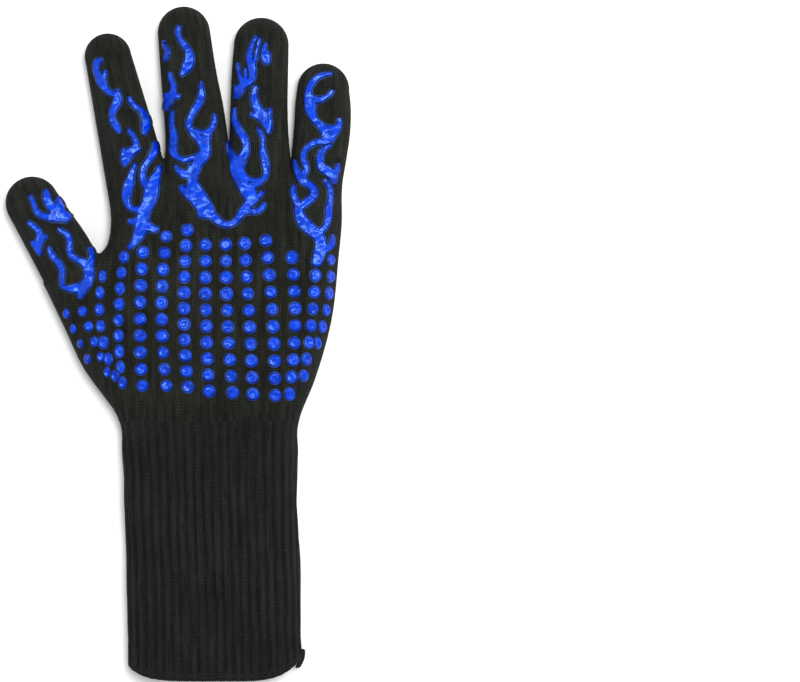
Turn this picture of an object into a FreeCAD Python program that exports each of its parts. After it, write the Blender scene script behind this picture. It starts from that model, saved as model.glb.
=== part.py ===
import FreeCAD, Part
import math
import os
import Sketcher
from FreeCAD import Placement, Rotation, Vector

# Heat resistant glove with a long cuff, for the left hand, lying on its back with the palm up.
#
# Frame: +X towards the little finger, +Y towards the fingertips, +Z out of the palm. The origin is on
# the flat the back of the hand lies on, near the middle of the whole glove.
#
# The glove is three layers: a knitted outer shell, a cotton liner inside it, and a silicone grip print
# on the palm side. Each layer is the space between two nested forms of the same hand, one smaller than
# the other. A hand form is a palm, a thumb mound and five digits, fused. Every layer is then cut at the
# folds, where the real glove bends: the wrist, the thumb crease and the knuckles. A fold is a straight
# gap below its axis and a notch above it, wide enough for the two sides to close.

doc = FreeCAD.newDocument("HeatResistantGlove")

# ---------------------------------------------------------------- sizes, in millimetres and degrees

SIZES = {
    # layers
    "shell_wall": (1.4, "knitted outer shell"),
    "layer_gap": (0.15, "room between shell and liner"),
    "liner_wall": (1.1, "cotton liner"),
    "print_gap": (0.02, "room between shell and print"),
    "print_wall": (0.9, "silicone grip print"),
    "corner_share": (0.43, "corner radius over the height of a section"),
    "back_flat": (0.05, "how far every form reaches below the flat that the back is then cut to"),
    # folds
    "fold_gap": (0.2, "half of the gap at each fold"),
    "fold_spare": (1.5, "angle left in each notch side when closed"),
    "fold_rise": (0.6, "height of a fold axis over the height of its section"),
    "knuckle_bend": (60.0, "travel at the root of a finger"),
    "middle_bend": (75.0, "travel at the middle joint of a finger"),
    "tip_follow": (0.5, "tip joint travel over middle joint travel"),
    "thumb_tip_bend": (45.0, "travel of the thumb's joint"),
    "thumb_swing": (50.0, "travel of the thumb over the palm"),
    "wrist_bend": (55.0, "travel of the hand on the cuff"),
    "stub_spare": (0.3, "overhang of a finger's cuts past its root, on the sides between fingers"),
    "outer_spare": (8.0, "the same, on the outer sides of the hand"),
    # cuff
    "wrist_y": (-41.0, "where the hand meets the cuff"),
    "cuff_length": (135.0, "wrist to mouth"),
    "cuff_waist_back": (20.0, "wrist to the narrowest section"),
    "waist_left": (27.0, "left edge at the narrowest section"),
    "waist_right": (62.4, "right edge at the narrowest section"),
    "mouth_left": (25.0, "left edge at the mouth"),
    "mouth_right": (65.0, "right edge at the mouth"),
    "waist_height": (20.5, "thickness of the cuff"),
    "hem_length": (3.2, "overlocked edge along the cuff"),
    "hem_proud": (0.6, "overlocked edge outside the shell"),
    "tail_length": (9.0, "sewn-in end of the overlock thread"),
    "tail_thick": (2.2, "thickness of that end"),
    # palm sections from the wrist up, left edges measured to the left
    "wrist_left": (28.6, ""),
    "wrist_right": (64.0, ""),
    "wrist_height": (21.0, ""),
    "heel_y": (-20.0, ""),
    "heel_left": (31.0, ""),
    "heel_right": (72.3, ""),
    "palm_y": (10.0, ""),
    "palm_left": (34.5, ""),
    "palm_right": (80.9, ""),
    "palm_height": (22.0, "thickest part of the palm"),
    "crotch_y": (45.0, ""),
    "crotch_left": (36.5, ""),
    "crotch_right": (85.0, ""),
    "blade_y": (64.0, ""),
    "blade_left": (33.6, ""),
    "blade_right": (86.6, ""),
    "knuckle_y": (93.0, ""),
    "knuckle_height": (19.0, ""),
    # thumb crease: the line the thumb swings about, from the thumb's crotch down to the wrist
    "crease_x": (-38.5, ""),
    "crease_y": (42.9, ""),
    "crease_lean": (7.47, "degrees to the left of +Y"),
    "crease_up": (110.0, "crease cut past the thumb's crotch"),
    "crease_down": (125.0, "crease cut towards the wrist"),
    "crease_rise": (14.4, "height of the crease axis"),
    # grip dots
    "dot_radius": (2.9, "dot on the palm"),
    "small_dot_radius": (2.25, "dot on the thumb mound"),
}

# Each digit: root place, lean to the left of +Y, length past the root, thickness, distances from the
# root to its folds, and (distance, left edge, right edge) for each section of the finger.
DIGITS = {
    "index": {
        "place": (-21.3, 90.2, 12.8), "length": 73.2, "thick": 18.0, "folds": (8.5, 31.0, 52.0),
        "sections": ((-12.0, 17.2, 16.5), (0.0, 16.4, 15.3), (20.0, 15.3, 14.0), (40.0, 14.3, 12.6)),
        "shoulder": (13.2, 11.0),
    },
    "middle": {
        "place": (11.2, 101.1, 6.3), "length": 75.2, "thick": 18.4, "folds": (8.5, 31.5, 53.0),
        "sections": ((-12.0, 16.8, 16.8), (0.0, 16.5, 16.4), (20.0, 15.6, 15.8), (40.0, 15.0, 14.3)),
        "shoulder": (14.3, 13.2),
    },
    "ring": {
        "place": (42.9, 102.7, -1.6), "length": 67.3, "thick": 18.0, "folds": (8.5, 29.5, 48.0),
        "sections": ((-12.0, 16.0, 17.6), (0.0, 15.6, 15.7), (20.0, 15.2, 14.8), (38.0, 14.9, 14.5)),
        "shoulder": (14.2, 14.2),
    },
    "little": {
        "place": (74.9, 94.9, -2.9), "length": 51.3, "thick": 16.4, "folds": (7.5, 23.0, 37.0),
        "sections": ((-12.0, 15.6, 12.6), (0.0, 14.9, 13.9), (20.0, 14.2, 15.3), (29.0, 14.2, 14.8)),
        "shoulder": (13.6, 13.6),
    },
    "thumb": {
        "place": (-52.0, 35.1, 28.7), "length": 58.3, "thick": 19.5, "folds": (27.0,),
        "sections": ((-6.0, 17.2, 16.0), (0.0, 16.8, 14.8), (20.0, 16.4, 14.2), (35.0, 16.2, 12.8)),
        "shoulder": (16.2, 11.5),
    },
}
FINGERS = ("index", "middle", "ring", "little")

# Thumb mound sections along the thumb's own axis: (distance from the thumb's root, left, right, height).
MOUND = ((0.0, 16.9, 15.6, 20.0), (-12.0, 18.0, 28.0, 21.0), (-45.0, 20.0, 28.0, 21.0),
         (-64.0, 17.5, 22.0, 20.4), (-72.0, 15.5, 10.0, 20.0))

# A fingertip rounds over in four sections. Each is at an angle round a circle as wide as the shoulder.
TIP_ANGLES = (0.0, 30.0, 52.0, 70.0)
TIP_HEIGHT_POWER = 0.7
TIP_SINK = 0.4  # share of the lost height that is lost from the back of the hand

# Columns of grip dots: (top x, top y, bottom x, bottom y, how far the middle bows to the right, count).
PALM_DOTS = (
    (-37.3, 34.3, -30.6, -17.2, -4.2, 7),
    (-26.0, 44.3, -26.8, -20.9, -2.5, 9),
    (-16.0, 46.7, -16.5, -22.4, -1.4, 9),
    (-4.0, 54.9, -4.0, -22.4, -2.4, 10),
    (6.9, 58.2, 7.1, -23.0, -1.8, 11),
    (16.3, 50.5, 18.1, -25.2, -0.6, 10),
    (26.8, 50.7, 30.2, -25.9, -0.8, 10),
    (36.5, 51.2, 40.8, -26.7, 0.3, 10),
    (47.5, 52.8, 52.3, -27.4, 1.1, 10),
    (61.0, 44.1, 59.7, -26.7, 2.2, 9),
    (73.2, 34.7, 67.0, -17.3, 0.8, 7),
    (81.2, 42.8, 74.2, -0.4, 1.8, 6),
)
THUMB_DOTS = (
    (-56.3, 15.0, -45.3, -8.5, 0.0, 4),
    (-47.7, 16.2, -34.8, -15.3, 0.0, 5),
)

# Flame print. Each flame is a brush stroke down a digit: (across, along, half width) at each turn of it,
# from its pointed start to its end, in the digit's own frame. Strokes that cross make one flame.
FLAMES = {
    "index": (
        ((-4.2, 59.0, 0.6), (-6.6, 58.2, 1.6), (-7.9, 55.0, 1.2), (-7.4, 51.5, 1.6), (-6.4, 48.0, 2.2),
         (-5.4, 44.4, 1.4), (-3.6, 41.6, 1.1), (-0.8, 39.8, 1.2)),
        ((-3.0, 53.6, 0.3), (-4.2, 50.6, 0.9), (-6.2, 48.6, 1.2)),
        ((0.3, 42.8, 0.3), (0.5, 39.6, 1.2), (-0.5, 36.3, 2.0), (-3.0, 33.2, 1.7), (-4.8, 30.2, 1.3),
         (-5.0, 27.0, 1.5), (-4.0, 23.3, 1.5), (-2.9, 19.4, 0.3)),
        ((6.0, 37.8, 0.3), (5.9, 35.0, 0.8), (7.4, 32.0, 0.9), (9.6, 29.4, 1.0), (10.9, 26.4, 1.3),
         (11.0, 22.8, 1.7), (10.2, 19.2, 1.5), (8.8, 16.0, 0.3)),
        ((0.8, 21.6, 0.3), (2.4, 18.8, 0.8), (3.7, 15.4, 0.9), (3.9, 12.2, 1.2), (2.6, 9.6, 1.6)),
        ((5.8, 9.0, 0.3), (3.0, 9.4, 1.4), (0.0, 8.6, 2.2), (-2.6, 6.4, 2.5), (-4.5, 3.0, 0.6)),
        ((-2.5, 11.6, 0.3), (-3.4, 9.0, 1.0), (-2.8, 6.8, 1.4)),
        ((3.4, 3.6, 0.3), (0.8, 1.2, 0.7), (-1.4, -2.2, 1.2), (-3.4, -6.0, 1.9), (-5.6, -10.5, 2.2),
         (-7.0, -14.5, 1.9), (-6.9, -18.0, 1.2), (-4.6, -20.6, 1.1), (-1.6, -22.0, 1.6)),
        ((12.9, 13.0, 0.3), (12.9, 9.6, 0.9), (11.6, 6.2, 1.4), (8.6, 2.8, 1.2), (5.4, -0.4, 1.1),
         (3.9, -4.0, 1.2), (3.8, -8.0, 1.5), (5.2, -11.5, 1.8)),
        ((13.2, -0.4, 0.3), (11.6, -4.4, 1.2), (8.8, -8.6, 2.5), (6.8, -13.0, 3.4), (4.6, -17.8, 3.2),
         (1.6, -22.2, 2.7), (-0.8, -26.8, 3.0), (-2.8, -31.4, 3.1), (-5.6, -35.6, 2.1), (-8.8, -38.4, 1.3),
         (-12.2, -40.6, 0.3)),
        ((6.4, -33.8, 0.3), (3.2, -33.0, 1.6), (0.2, -30.4, 1.8)),
        ((-8.8, -25.8, 0.3), (-6.0, -27.2, 1.4), (-2.8, -26.8, 1.6)),
    ),
    "middle": (
        ((-1.5, 64.4, 0.3), (-3.1, 61.4, 1.2), (-2.7, 57.6, 0.9), (-0.6, 54.0, 1.2), (1.2, 50.4, 1.5),
         (1.4, 46.4, 2.1), (-0.2, 42.4, 2.3), (-3.4, 38.8, 0.8)),
        ((-11.1, 57.8, 0.3), (-10.9, 55.0, 0.6), (-9.6, 52.0, 0.9), (-10.4, 49.0, 1.1), (-11.8, 46.6, 0.3)),
        ((-9.9, 41.4, 0.3), (-9.4, 37.6, 0.9), (-8.5, 33.6, 1.1), (-8.9, 30.0, 1.4), (-11.2, 27.4, 2.3),
         (-12.8, 24.2, 1.9), (-13.6, 20.8, 0.3)),
        ((-5.0, 27.0, 0.3), (-8.0, 28.0, 1.2), (-10.8, 28.2, 1.6)),
        ((-13.9, 30.8, 0.3), (-13.0, 28.4, 0.9), (-11.6, 26.8, 1.4)),
        ((-9.7, 21.4, 0.3), (-11.1, 17.0, 0.9), (-11.4, 12.4, 1.1), (-10.9, 7.6, 1.5), (-11.8, 3.0, 1.9),
         (-11.9, -1.2, 1.6), (-9.8, -4.3, 0.9), (-6.2, -5.6, 1.0), (-2.4, -5.2, 1.0), (0.8, -3.8, 0.9),
         (3.4, -1.8, 0.8)),
        ((5.8, 34.4, 0.3), (5.9, 30.0, 0.9), (5.3, 26.0, 1.5), (3.4, 22.4, 1.5), (0.6, 18.6, 1.3),
         (-1.8, 15.0, 1.3), (-2.6, 11.2, 1.2), (-0.8, 7.8, 1.4), (1.8, 4.6, 1.8), (4.2, 1.0, 2.5),
         (4.4, -2.8, 2.5), (2.0, -6.4, 2.2)),
        ((10.8, 17.0, 0.3), (10.8, 13.2, 0.8), (9.3, 9.8, 0.9), (6.6, 6.4, 1.6), (4.8, 2.0, 2.2)),
        ((0.6, 9.0, 0.6), (3.4, 7.3, 0.8), (6.6, 7.6, 0.9)),
        ((3.6, -4.0, 1.6), (-0.6, -8.6, 2.4), (-3.4, -12.8, 3.1), (-3.8, -17.4, 2.1), (-3.6, -22.0, 3.9),
         (-1.2, -27.2, 4.0), (1.8, -32.0, 3.4), (4.6, -36.4, 1.8), (7.8, -40.0, 1.2), (12.0, -41.8, 1.1)),
        ((-12.2, -7.0, 0.3), (-11.0, -10.0, 0.9), (-8.4, -12.6, 1.6), (-4.6, -13.6, 2.2)),
        ((-10.2, -18.2, 0.3), (-8.8, -21.6, 1.4), (-5.2, -24.8, 2.4)),
        ((3.4, -34.6, 0.6), (1.2, -36.2, 0.8), (-1.2, -34.6, 1.4), (-0.8, -30.6, 1.8)),
    ),
    "ring": (
        ((-0.6, 58.0, 0.3), (-2.8, 55.0, 0.7), (-4.6, 51.2, 0.9), (-5.5, 47.4, 1.2), (-5.3, 43.6, 1.4),
         (-4.1, 40.0, 1.8), (-3.6, 36.4, 1.6), (-4.8, 32.8, 1.3), (-8.0, 30.6, 1.6), (-10.6, 28.0, 2.0),
         (-12.3, 23.2, 0.3)),
        ((0.7, 57.0, 0.3), (-0.9, 52.8, 0.6), (-1.9, 48.2, 0.6), (-2.7, 44.0, 0.8), (-3.8, 40.6, 1.0)),
        ((-11.4, 44.2, 0.3), (-11.5, 40.2, 0.6), (-10.3, 36.0, 0.8), (-8.4, 31.8, 1.1)),
        ((-7.7, 41.2, 0.3), (-7.5, 37.4, 0.7), (-7.2, 34.0, 0.9), (-7.0, 31.0, 1.1)),
        ((-12.6, 31.2, 0.3), (-11.4, 28.8, 1.2), (-9.6, 27.6, 1.3)),
        ((4.4, 53.4, 0.3), (2.3, 51.8, 0.7), (1.8, 49.0, 1.1), (2.9, 46.2, 2.3), (3.4, 43.6, 1.5)),
        ((-0.6, 31.0, 0.3), (-2.3, 28.2, 1.0), (-2.6, 24.6, 1.5), (-1.6, 20.6, 1.8), (0.6, 17.0, 2.3),
         (3.4, 13.6, 2.9), (5.2, 9.8, 1.9), (5.4, 5.4, 0.3)),
        ((5.8, 20.2, 0.3), (5.5, 16.8, 0.9), (4.2, 13.8, 1.8)),
        ((-5.0, 15.4, 0.3), (-2.2, 15.2, 0.9), (1.0, 14.2, 1.6)),
        ((-12.5, 20.2, 0.3), (-12.8, 16.0, 0.9), (-12.0, 11.6, 1.2), (-9.8, 7.4, 1.6), (-7.2, 3.6, 1.6),
         (-5.8, -0.6, 1.5), (-6.4, -4.8, 1.8), (-8.4, -8.6, 2.4), (-9.6, -12.6, 2.8)),
        ((-15.7, 2.4, 0.3), (-15.2, -2.2, 0.8), (-13.0, -6.0, 1.6), (-11.2, -10.2, 2.7), (-10.0, -14.6, 3.1),
         (-7.8, -19.4, 2.7), (-4.8, -23.8, 3.2), (-2.4, -27.6, 3.0), (-3.8, -31.6, 1.9), (-6.8, -34.8, 1.5)),
        ((-0.9, 9.4, 0.3), (1.0, 6.6, 0.7), (2.7, 3.2, 0.8), (2.7, -0.8, 0.8), (3.2, -4.8, 1.4),
         (4.2, -9.2, 1.7), (4.9, -13.2, 1.3), (4.2, -17.0, 1.1), (1.4, -19.8, 1.1), (-2.6, -22.2, 1.8)),
        ((-8.0, -11.5, 0.5), (-6.8, -15.4, 0.9), (-4.2, -18.1, 0.9), (-0.6, -18.9, 0.9), (2.4, -18.6, 0.8)),
        ((4.8, -23.8, 0.3), (2.2, -26.2, 0.9), (-0.2, -28.8, 1.2), (-3.0, -30.6, 1.6)),
        ((4.8, -29.4, 0.3), (4.0, -32.4, 0.9), (1.4, -34.6, 1.1), (-2.4, -34.9, 1.3), (-5.8, -34.8, 1.6),
         (-8.0, -37.6, 1.4), (-10.6, -40.8, 1.2), (-14.2, -42.2, 1.1), (-17.4, -41.4, 1.1),
         (-19.8, -38.4, 1.0)),
    ),
    "little": (
        ((5.0, 45.2, 0.3), (0.8, 44.8, 0.8), (-3.0, 43.0, 1.1), (-5.8, 39.8, 1.3), (-7.3, 36.0, 1.3),
         (-7.2, 32.4, 1.9), (-6.2, 28.6, 2.7), (-5.6, 25.0, 2.1), (-3.6, 21.0, 1.5), (-0.4, 18.0, 1.5),
         (2.4, 14.8, 2.3), (3.8, 11.2, 2.0)),
        ((5.4, 38.0, 0.3), (4.0, 34.9, 0.8), (1.4, 32.6, 0.9), (-2.0, 31.2, 1.4), (-5.4, 31.6, 1.8)),
        ((9.0, 23.6, 0.3), (9.3, 20.0, 0.9), (8.2, 16.6, 1.6), (5.6, 13.8, 2.4), (3.4, 11.4, 1.6)),
        ((-1.0, 18.8, 0.8), (2.6, 17.2, 0.9), (6.0, 17.0, 0.9), (8.6, 18.4, 0.8)),
        ((7.4, 11.2, 0.3), (3.6, 9.9, 1.3), (-0.8, 9.5, 1.2), (-4.8, 7.6, 1.1), (-7.6, 4.4, 1.1),
         (-8.3, 0.6, 1.1), (-7.0, -2.8, 1.2), (-6.4, -5.6, 1.1), (-8.6, -9.2, 1.8)),
        ((-12.9, 0.6, 0.3), (-12.5, -3.0, 0.8), (-10.8, -6.8, 1.2), (-8.8, -10.4, 2.0), (-5.6, -12.8, 1.5),
         (-2.4, -15.2, 1.6), (-1.8, -18.4, 1.7), (-4.0, -21.4, 1.6), (-7.4, -24.4, 1.6)),
        ((-12.0, -13.2, 0.3), (-12.8, -16.8, 0.9), (-11.6, -20.6, 1.1), (-9.6, -24.2, 1.6),
         (-8.8, -28.4, 2.1), (-6.6, -32.8, 2.7), (-2.6, -36.4, 2.7), (1.4, -39.4, 2.5), (3.2, -43.6, 2.5),
         (2.8, -48.5, 2.7), (1.6, -53.0, 2.2)),
        ((6.2, 8.4, 0.3), (3.2, 6.6, 1.0), (0.9, 3.6, 1.4), (0.4, -0.2, 1.5), (1.6, -3.8, 1.8),
         (4.8, -5.8, 2.1), (7.4, -8.0, 2.0), (8.5, -12.4, 0.3)),
        ((9.5, -0.8, 0.3), (9.5, -4.2, 0.9), (7.8, -7.2, 1.8)),
        ((2.0, -9.0, 0.3), (4.6, -11.8, 0.8), (6.4, -15.2, 0.9), (6.8, -20.0, 1.0), (6.3, -25.0, 1.4),
         (6.2, -30.0, 1.3), (5.2, -34.4, 1.1), (2.4, -37.6, 1.4)),
        ((8.6, -38.2, 0.3), (9.0, -41.4, 0.9), (7.9, -44.4, 1.3), (4.8, -46.4, 1.8)),
    ),
    "thumb": (
        ((-0.6, 49.0, 0.3), (-0.7, 44.8, 0.8), (-1.4, 40.6, 0.9), (-1.2, 37.2, 1.2), (0.8, 34.2, 1.3),
         (3.6, 32.0, 1.8), (6.8, 30.6, 2.2)),
        ((7.9, 46.4, 0.3), (6.6, 43.0, 1.5), (6.0, 39.4, 1.6), (6.9, 35.4, 2.2), (7.6, 31.8, 2.8),
         (9.6, 28.8, 2.4)),
        ((10.2, 41.2, 0.3), (10.4, 37.8, 0.9), (9.6, 34.2, 1.5), (8.2, 31.0, 2.2)),
        ((-8.8, 37.0, 0.3), (-7.4, 34.2, 0.8), (-6.0, 31.0, 1.0), (-5.4, 27.8, 1.2), (-6.8, 24.6, 1.8),
         (-9.4, 22.4, 1.7), (-10.3, 19.6, 1.2), (-10.2, 17.0, 0.3)),
        ((-2.6, 24.2, 0.3), (-4.6, 24.6, 1.0), (-7.2, 24.2, 1.6)),
        ((-11.0, 26.6, 0.3), (-10.6, 23.8, 1.2), (-9.0, 22.0, 1.5)),
        ((-4.5, 19.7, 0.3), (-5.3, 16.6, 1.0), (-5.0, 12.6, 1.2), (-4.0, 8.6, 1.3), (-4.6, 4.6, 1.3),
         (-6.8, 1.0, 1.2), (-8.0, -2.0, 1.0), (-6.2, -4.6, 1.1), (-2.6, -6.6, 2.0), (0.6, -7.6, 2.0)),
        ((3.4, 27.0, 0.3), (4.8, 23.6, 0.7), (6.5, 20.0, 1.1), (6.2, 16.4, 1.2), (4.2, 12.8, 1.1),
         (3.6, 9.2, 1.1), (5.6, 5.6, 1.2), (7.8, 1.8, 1.9), (7.6, -2.6, 2.4), (4.8, -6.2, 2.2),
         (0.6, -8.4, 2.4), (-3.8, -12.4, 0.3)),
        ((12.6, 11.2, 0.3), (13.0, 7.6, 0.7), (12.0, 4.2, 1.0), (9.4, 0.6, 1.6)),
    ),
}
# The digit lengths and root widths that the flames above are drawn for. Longer or wider digits stretch them.
FLAME_LENGTH = {"index": 73.2, "middle": 75.2, "ring": 67.3, "little": 51.3, "thumb": 58.3}
FLAME_WIDTH = {"index": 31.7, "middle": 32.9, "ring": 31.3, "little": 28.8, "thumb": 31.6}


def add_digit_sizes():
    """Gives every size of every digit, of the thumb mound and of the fingertip its own row."""
    for digit, facts in DIGITS.items():
        for word, value in zip(("x", "y", "lean"), facts["place"]):
            SIZES[f"{digit}_{word}"] = (value, "")
        SIZES[f"{digit}_length"] = (facts["length"], "root to tip")
        SIZES[f"{digit}_thick"] = (facts["thick"], "")
        for number, value in enumerate(facts["folds"]):
            SIZES[f"{digit}_fold_{'abc'[number]}"] = (value, "root to fold")
        for number, section in enumerate(facts["sections"]):
            for word, value in zip(("along", "left", "right"), section):
                SIZES[f"{digit}_{word}_{'abcd'[number]}"] = (value, "")
        SIZES[f"{digit}_tip_left"] = (facts["shoulder"][0], "")
        SIZES[f"{digit}_tip_right"] = (facts["shoulder"][1], "")
    for number, section in enumerate(MOUND):
        for word, value in zip(("along", "left", "right", "high"), section):
            SIZES[f"mound_{word}_{'abcde'[number]}"] = (value, "")


add_digit_sizes()

sheet = doc.addObject("Spreadsheet::Sheet", "Sizes")
for row, (name, (value, note)) in enumerate(SIZES.items(), start=1):
    sheet.set(f"A{row}", name)
    sheet.set(f"B{row}", str(value))
    sheet.set(f"C{row}", note)
    sheet.setAlias(f"B{row}", name)
doc.recompute()


class Size:
    """A size that knows its present value and the sheet expression that it comes from."""

    def __init__(self, value, text):
        self.value = value
        self.text = text

    def joined(self, sign, other, value):
        return Size(value, f"({self.text} {sign} {as_size(other).text})")

    def __add__(self, other):
        return self.joined("+", other, self.value + as_size(other).value)

    def __sub__(self, other):
        return self.joined("-", other, self.value - as_size(other).value)

    def __mul__(self, other):
        return self.joined("*", other, self.value * as_size(other).value)

    def __truediv__(self, other):
        return self.joined("/", other, self.value / as_size(other).value)

    def __neg__(self):
        return Size(-self.value, f"(0 - {self.text})")

    def tangent(self):
        return Size(math.tan(math.radians(self.value)), f"tan({self.text} * 1 deg)")


def as_size(number):
    if isinstance(number, Size):
        return number
    return Size(float(number), repr(float(number)))


def size(name):
    return Size(float(sheet.get(name)), f"Sizes.{name}")


def bind(thing, prop, amount):
    thing.setExpression(prop, as_size(amount).text)


# ---------------------------------------------------------------- frames, sketches and simple solids


def place(thing, x, y, lean):
    """Puts a body at a place in the palm plane, turned so that its own Y leans to the left."""
    turn = Rotation(Vector(0, 0, 1), as_size(lean).value)
    thing.Placement = Placement(Vector(as_size(x).value, as_size(y).value, 0), turn)
    bind(thing, "Placement.Base.x", x)
    bind(thing, "Placement.Base.y", y)
    bind(thing, "Placement.Rotation.Angle", lean)


def at_digit(thing, digit):
    place(thing, size(f"{digit}_x"), size(f"{digit}_y"), size(f"{digit}_lean"))


def at_crease(thing):
    place(thing, size("crease_x"), size("crease_y"), size("crease_lean"))


def at_origin(thing):
    thing.Placement = Placement()


def origin_plane(body, role):
    return next(feature for feature in body.Origin.OriginFeatures if feature.Role == role)


def sketch_on(body, role, distance):
    """A sketch on one of the body's own origin planes, moved along that plane's normal."""
    sketch = body.newObject("Sketcher::SketchObject", body.Name + "_sketch")
    sketch.AttachmentSupport = [(origin_plane(body, role), "")]
    sketch.MapMode = "FlatFace"
    sketch.AttachmentOffset = Placement(Vector(0, 0, as_size(distance).value), Rotation())
    bind(sketch, "AttachmentOffset.Base.z", distance)
    return sketch


def draw_section(body, along, left, right, low, high, radius):
    """A rounded rectangle across the body's Y axis: x from -left to right, z from low to high."""
    sketch = sketch_on(body, "XZ_Plane", -as_size(along))
    x0, x1, z0, z1, r = -left.value, right.value, low.value, high.value, radius.value
    corners = ((x1, z0, -90), (x1, z1, 0), (x0, z1, 90), (x0, z0, 180))
    arcs = []
    for x, z, start in corners:
        centre = Vector(x - r if x == x1 else x + r, z + r if z == z0 else z - r, 0)
        circle = Part.Circle(centre, Vector(0, 0, 1), r)
        arcs.append(Part.ArcOfCircle(circle, math.radians(start), math.radians(start + 90)))
    lines = []
    for number in range(4):
        lines.append(Part.LineSegment(arcs[number].EndPoint, arcs[(number + 1) % 4].StartPoint))
    sketch.addGeometry(arcs + lines)
    rules = []
    for number in range(4):
        rules.append(Sketcher.Constraint("Tangent", number, 2, 4 + number, 1))
        rules.append(Sketcher.Constraint("Tangent", 4 + number, 2, (number + 1) % 4, 1))
    for number, word in enumerate(("Vertical", "Horizontal", "Vertical", "Horizontal")):
        rules.append(Sketcher.Constraint(word, 4 + number))
    for number in range(1, 4):
        rules.append(Sketcher.Constraint("Equal", 0, number))
    rules.append(Sketcher.Constraint("Radius", 0, r))
    rules.append(Sketcher.Constraint("DistanceX", -1, 1, 4, 1, x1))
    rules.append(Sketcher.Constraint("DistanceY", -1, 1, 5, 1, z1))
    rules.append(Sketcher.Constraint("DistanceX", -1, 1, 6, 1, x0))
    rules.append(Sketcher.Constraint("DistanceY", -1, 1, 7, 1, z0))
    sketch.addConstraint(rules)
    first = len(rules) - 5
    for number, amount in enumerate((radius, right, high, -left, low)):
        bind(sketch, f"Constraints[{first + number}]", amount)
    return sketch


def loft(name, settle, stations):
    """A body lofted straight through its stations: (along, left, right, low, high, radius)."""
    body = doc.addObject("PartDesign::Body", name)
    settle(body)
    sketches = [draw_section(body, *station) for station in stations]
    feature = body.newObject("PartDesign::AdditiveLoft", name + "_loft")
    feature.Profile = sketches[0]
    feature.Sections = sketches[1:]
    feature.Ruled = True
    return body


def slab(name, settle, role, outline, start, thickness):
    """A body padded from a many-sided outline, along the normal of an origin plane."""
    body = doc.addObject("PartDesign::Body", name)
    settle(body)
    sketch = sketch_on(body, role, start)
    spots = [Vector(as_size(x).value, as_size(y).value, 0) for x, y in outline]
    count = len(spots)
    sketch.addGeometry([Part.LineSegment(spots[k], spots[(k + 1) % count]) for k in range(count)])
    rules = [Sketcher.Constraint("Coincident", k, 2, (k + 1) % count, 1) for k in range(count)]
    for k, spot in enumerate(spots):
        rules.append(Sketcher.Constraint("DistanceX", -1, 1, k, 1, spot.x))
        rules.append(Sketcher.Constraint("DistanceY", -1, 1, k, 1, spot.y))
    sketch.addConstraint(rules)
    for k, (x, y) in enumerate(outline):
        bind(sketch, f"Constraints[{count + 2 * k}]", x)
        bind(sketch, f"Constraints[{count + 2 * k + 1}]", y)
    pad = body.newObject("PartDesign::Pad", name + "_pad")
    pad.Profile = sketch
    pad.Length = as_size(thickness).value
    bind(pad, "Length", thickness)
    return body


def cut(name, base, tool):
    result = doc.addObject("Part::Cut", name)
    result.Base = base
    result.Tool = tool
    return result


def common(name, base, tool):
    result = doc.addObject("Part::Common", name)
    result.Base = base
    result.Tool = tool
    return result


def fused(name, shapes):
    result = doc.addObject("Part::MultiFuse", name)
    result.Shapes = shapes
    return result


# ---------------------------------------------------------------- nested forms of the hand and the cuff

# How far each form stands outside (or, when negative, inside) the shell's outer surface.
OFFSETS = {
    "shell_out": as_size(0),
    "shell_in": -size("shell_wall"),
    "liner_out": -(size("shell_wall") + size("layer_gap")),
    "liner_in": -(size("shell_wall") + size("layer_gap") + size("liner_wall")),
    "print_out": size("print_gap") + size("print_wall"),
    "print_in": size("print_gap"),
}
CUT_ROOM = 3.0  # how far forms run past a plane that trims them, and cuts past what they trim
SIDE_ROOM = 30.0  # how far a cut across the glove reaches past its sides


def section(along, left, right, height, offset):
    """A station with a flat back, sunk a little below z = 0 before its offset."""
    low = -(offset + size("back_flat"))
    radius = (height + offset * 2) * size("corner_share")
    return (as_size(along), left + offset, right + offset, low, height + offset, radius)


def tip_stations(digit, offset):
    """The rounded end of a digit."""
    left = size(f"{digit}_tip_left")
    right = size(f"{digit}_tip_right")
    half = (left + right) / 2 + offset
    middle = (right - left) / 2
    height = size(f"{digit}_thick") + offset * 2
    reach = math.sin(math.radians(TIP_ANGLES[-1]))
    stations = []
    for angle in TIP_ANGLES:
        along = size(f"{digit}_length") + offset - half * (reach - math.sin(math.radians(angle)))
        narrow = math.cos(math.radians(angle))
        lower = narrow ** TIP_HEIGHT_POWER
        low = height * ((1 - lower) * TIP_SINK) - offset - size("back_flat")
        radius = height * lower * size("corner_share")
        left_edge, right_edge = half * narrow - middle, half * narrow + middle
        stations.append((along, left_edge, right_edge, low, low + height * lower, radius))
    return stations


def digit_form(digit, layer):
    offset = OFFSETS[layer]
    stations = []
    for letter in "abcd":
        along, left, right = (size(f"{digit}_{word}_{letter}") for word in ("along", "left", "right"))
        stations.append(section(along, left, right, size(f"{digit}_thick"), offset))
    stations += tip_stations(digit, offset)
    return loft(f"{digit}_{layer}", lambda body: at_digit(body, digit), stations)


def mound_form(layer):
    offset = OFFSETS[layer]
    stations = []
    for letter in "abcde":
        along, left, right, high = (size(f"mound_{word}_{letter}") for word in ("along", "left", "right", "high"))
        stations.append(section(along, left, right, high, offset))
    return loft(f"mound_{layer}", lambda body: at_digit(body, "thumb"), stations)


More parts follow.
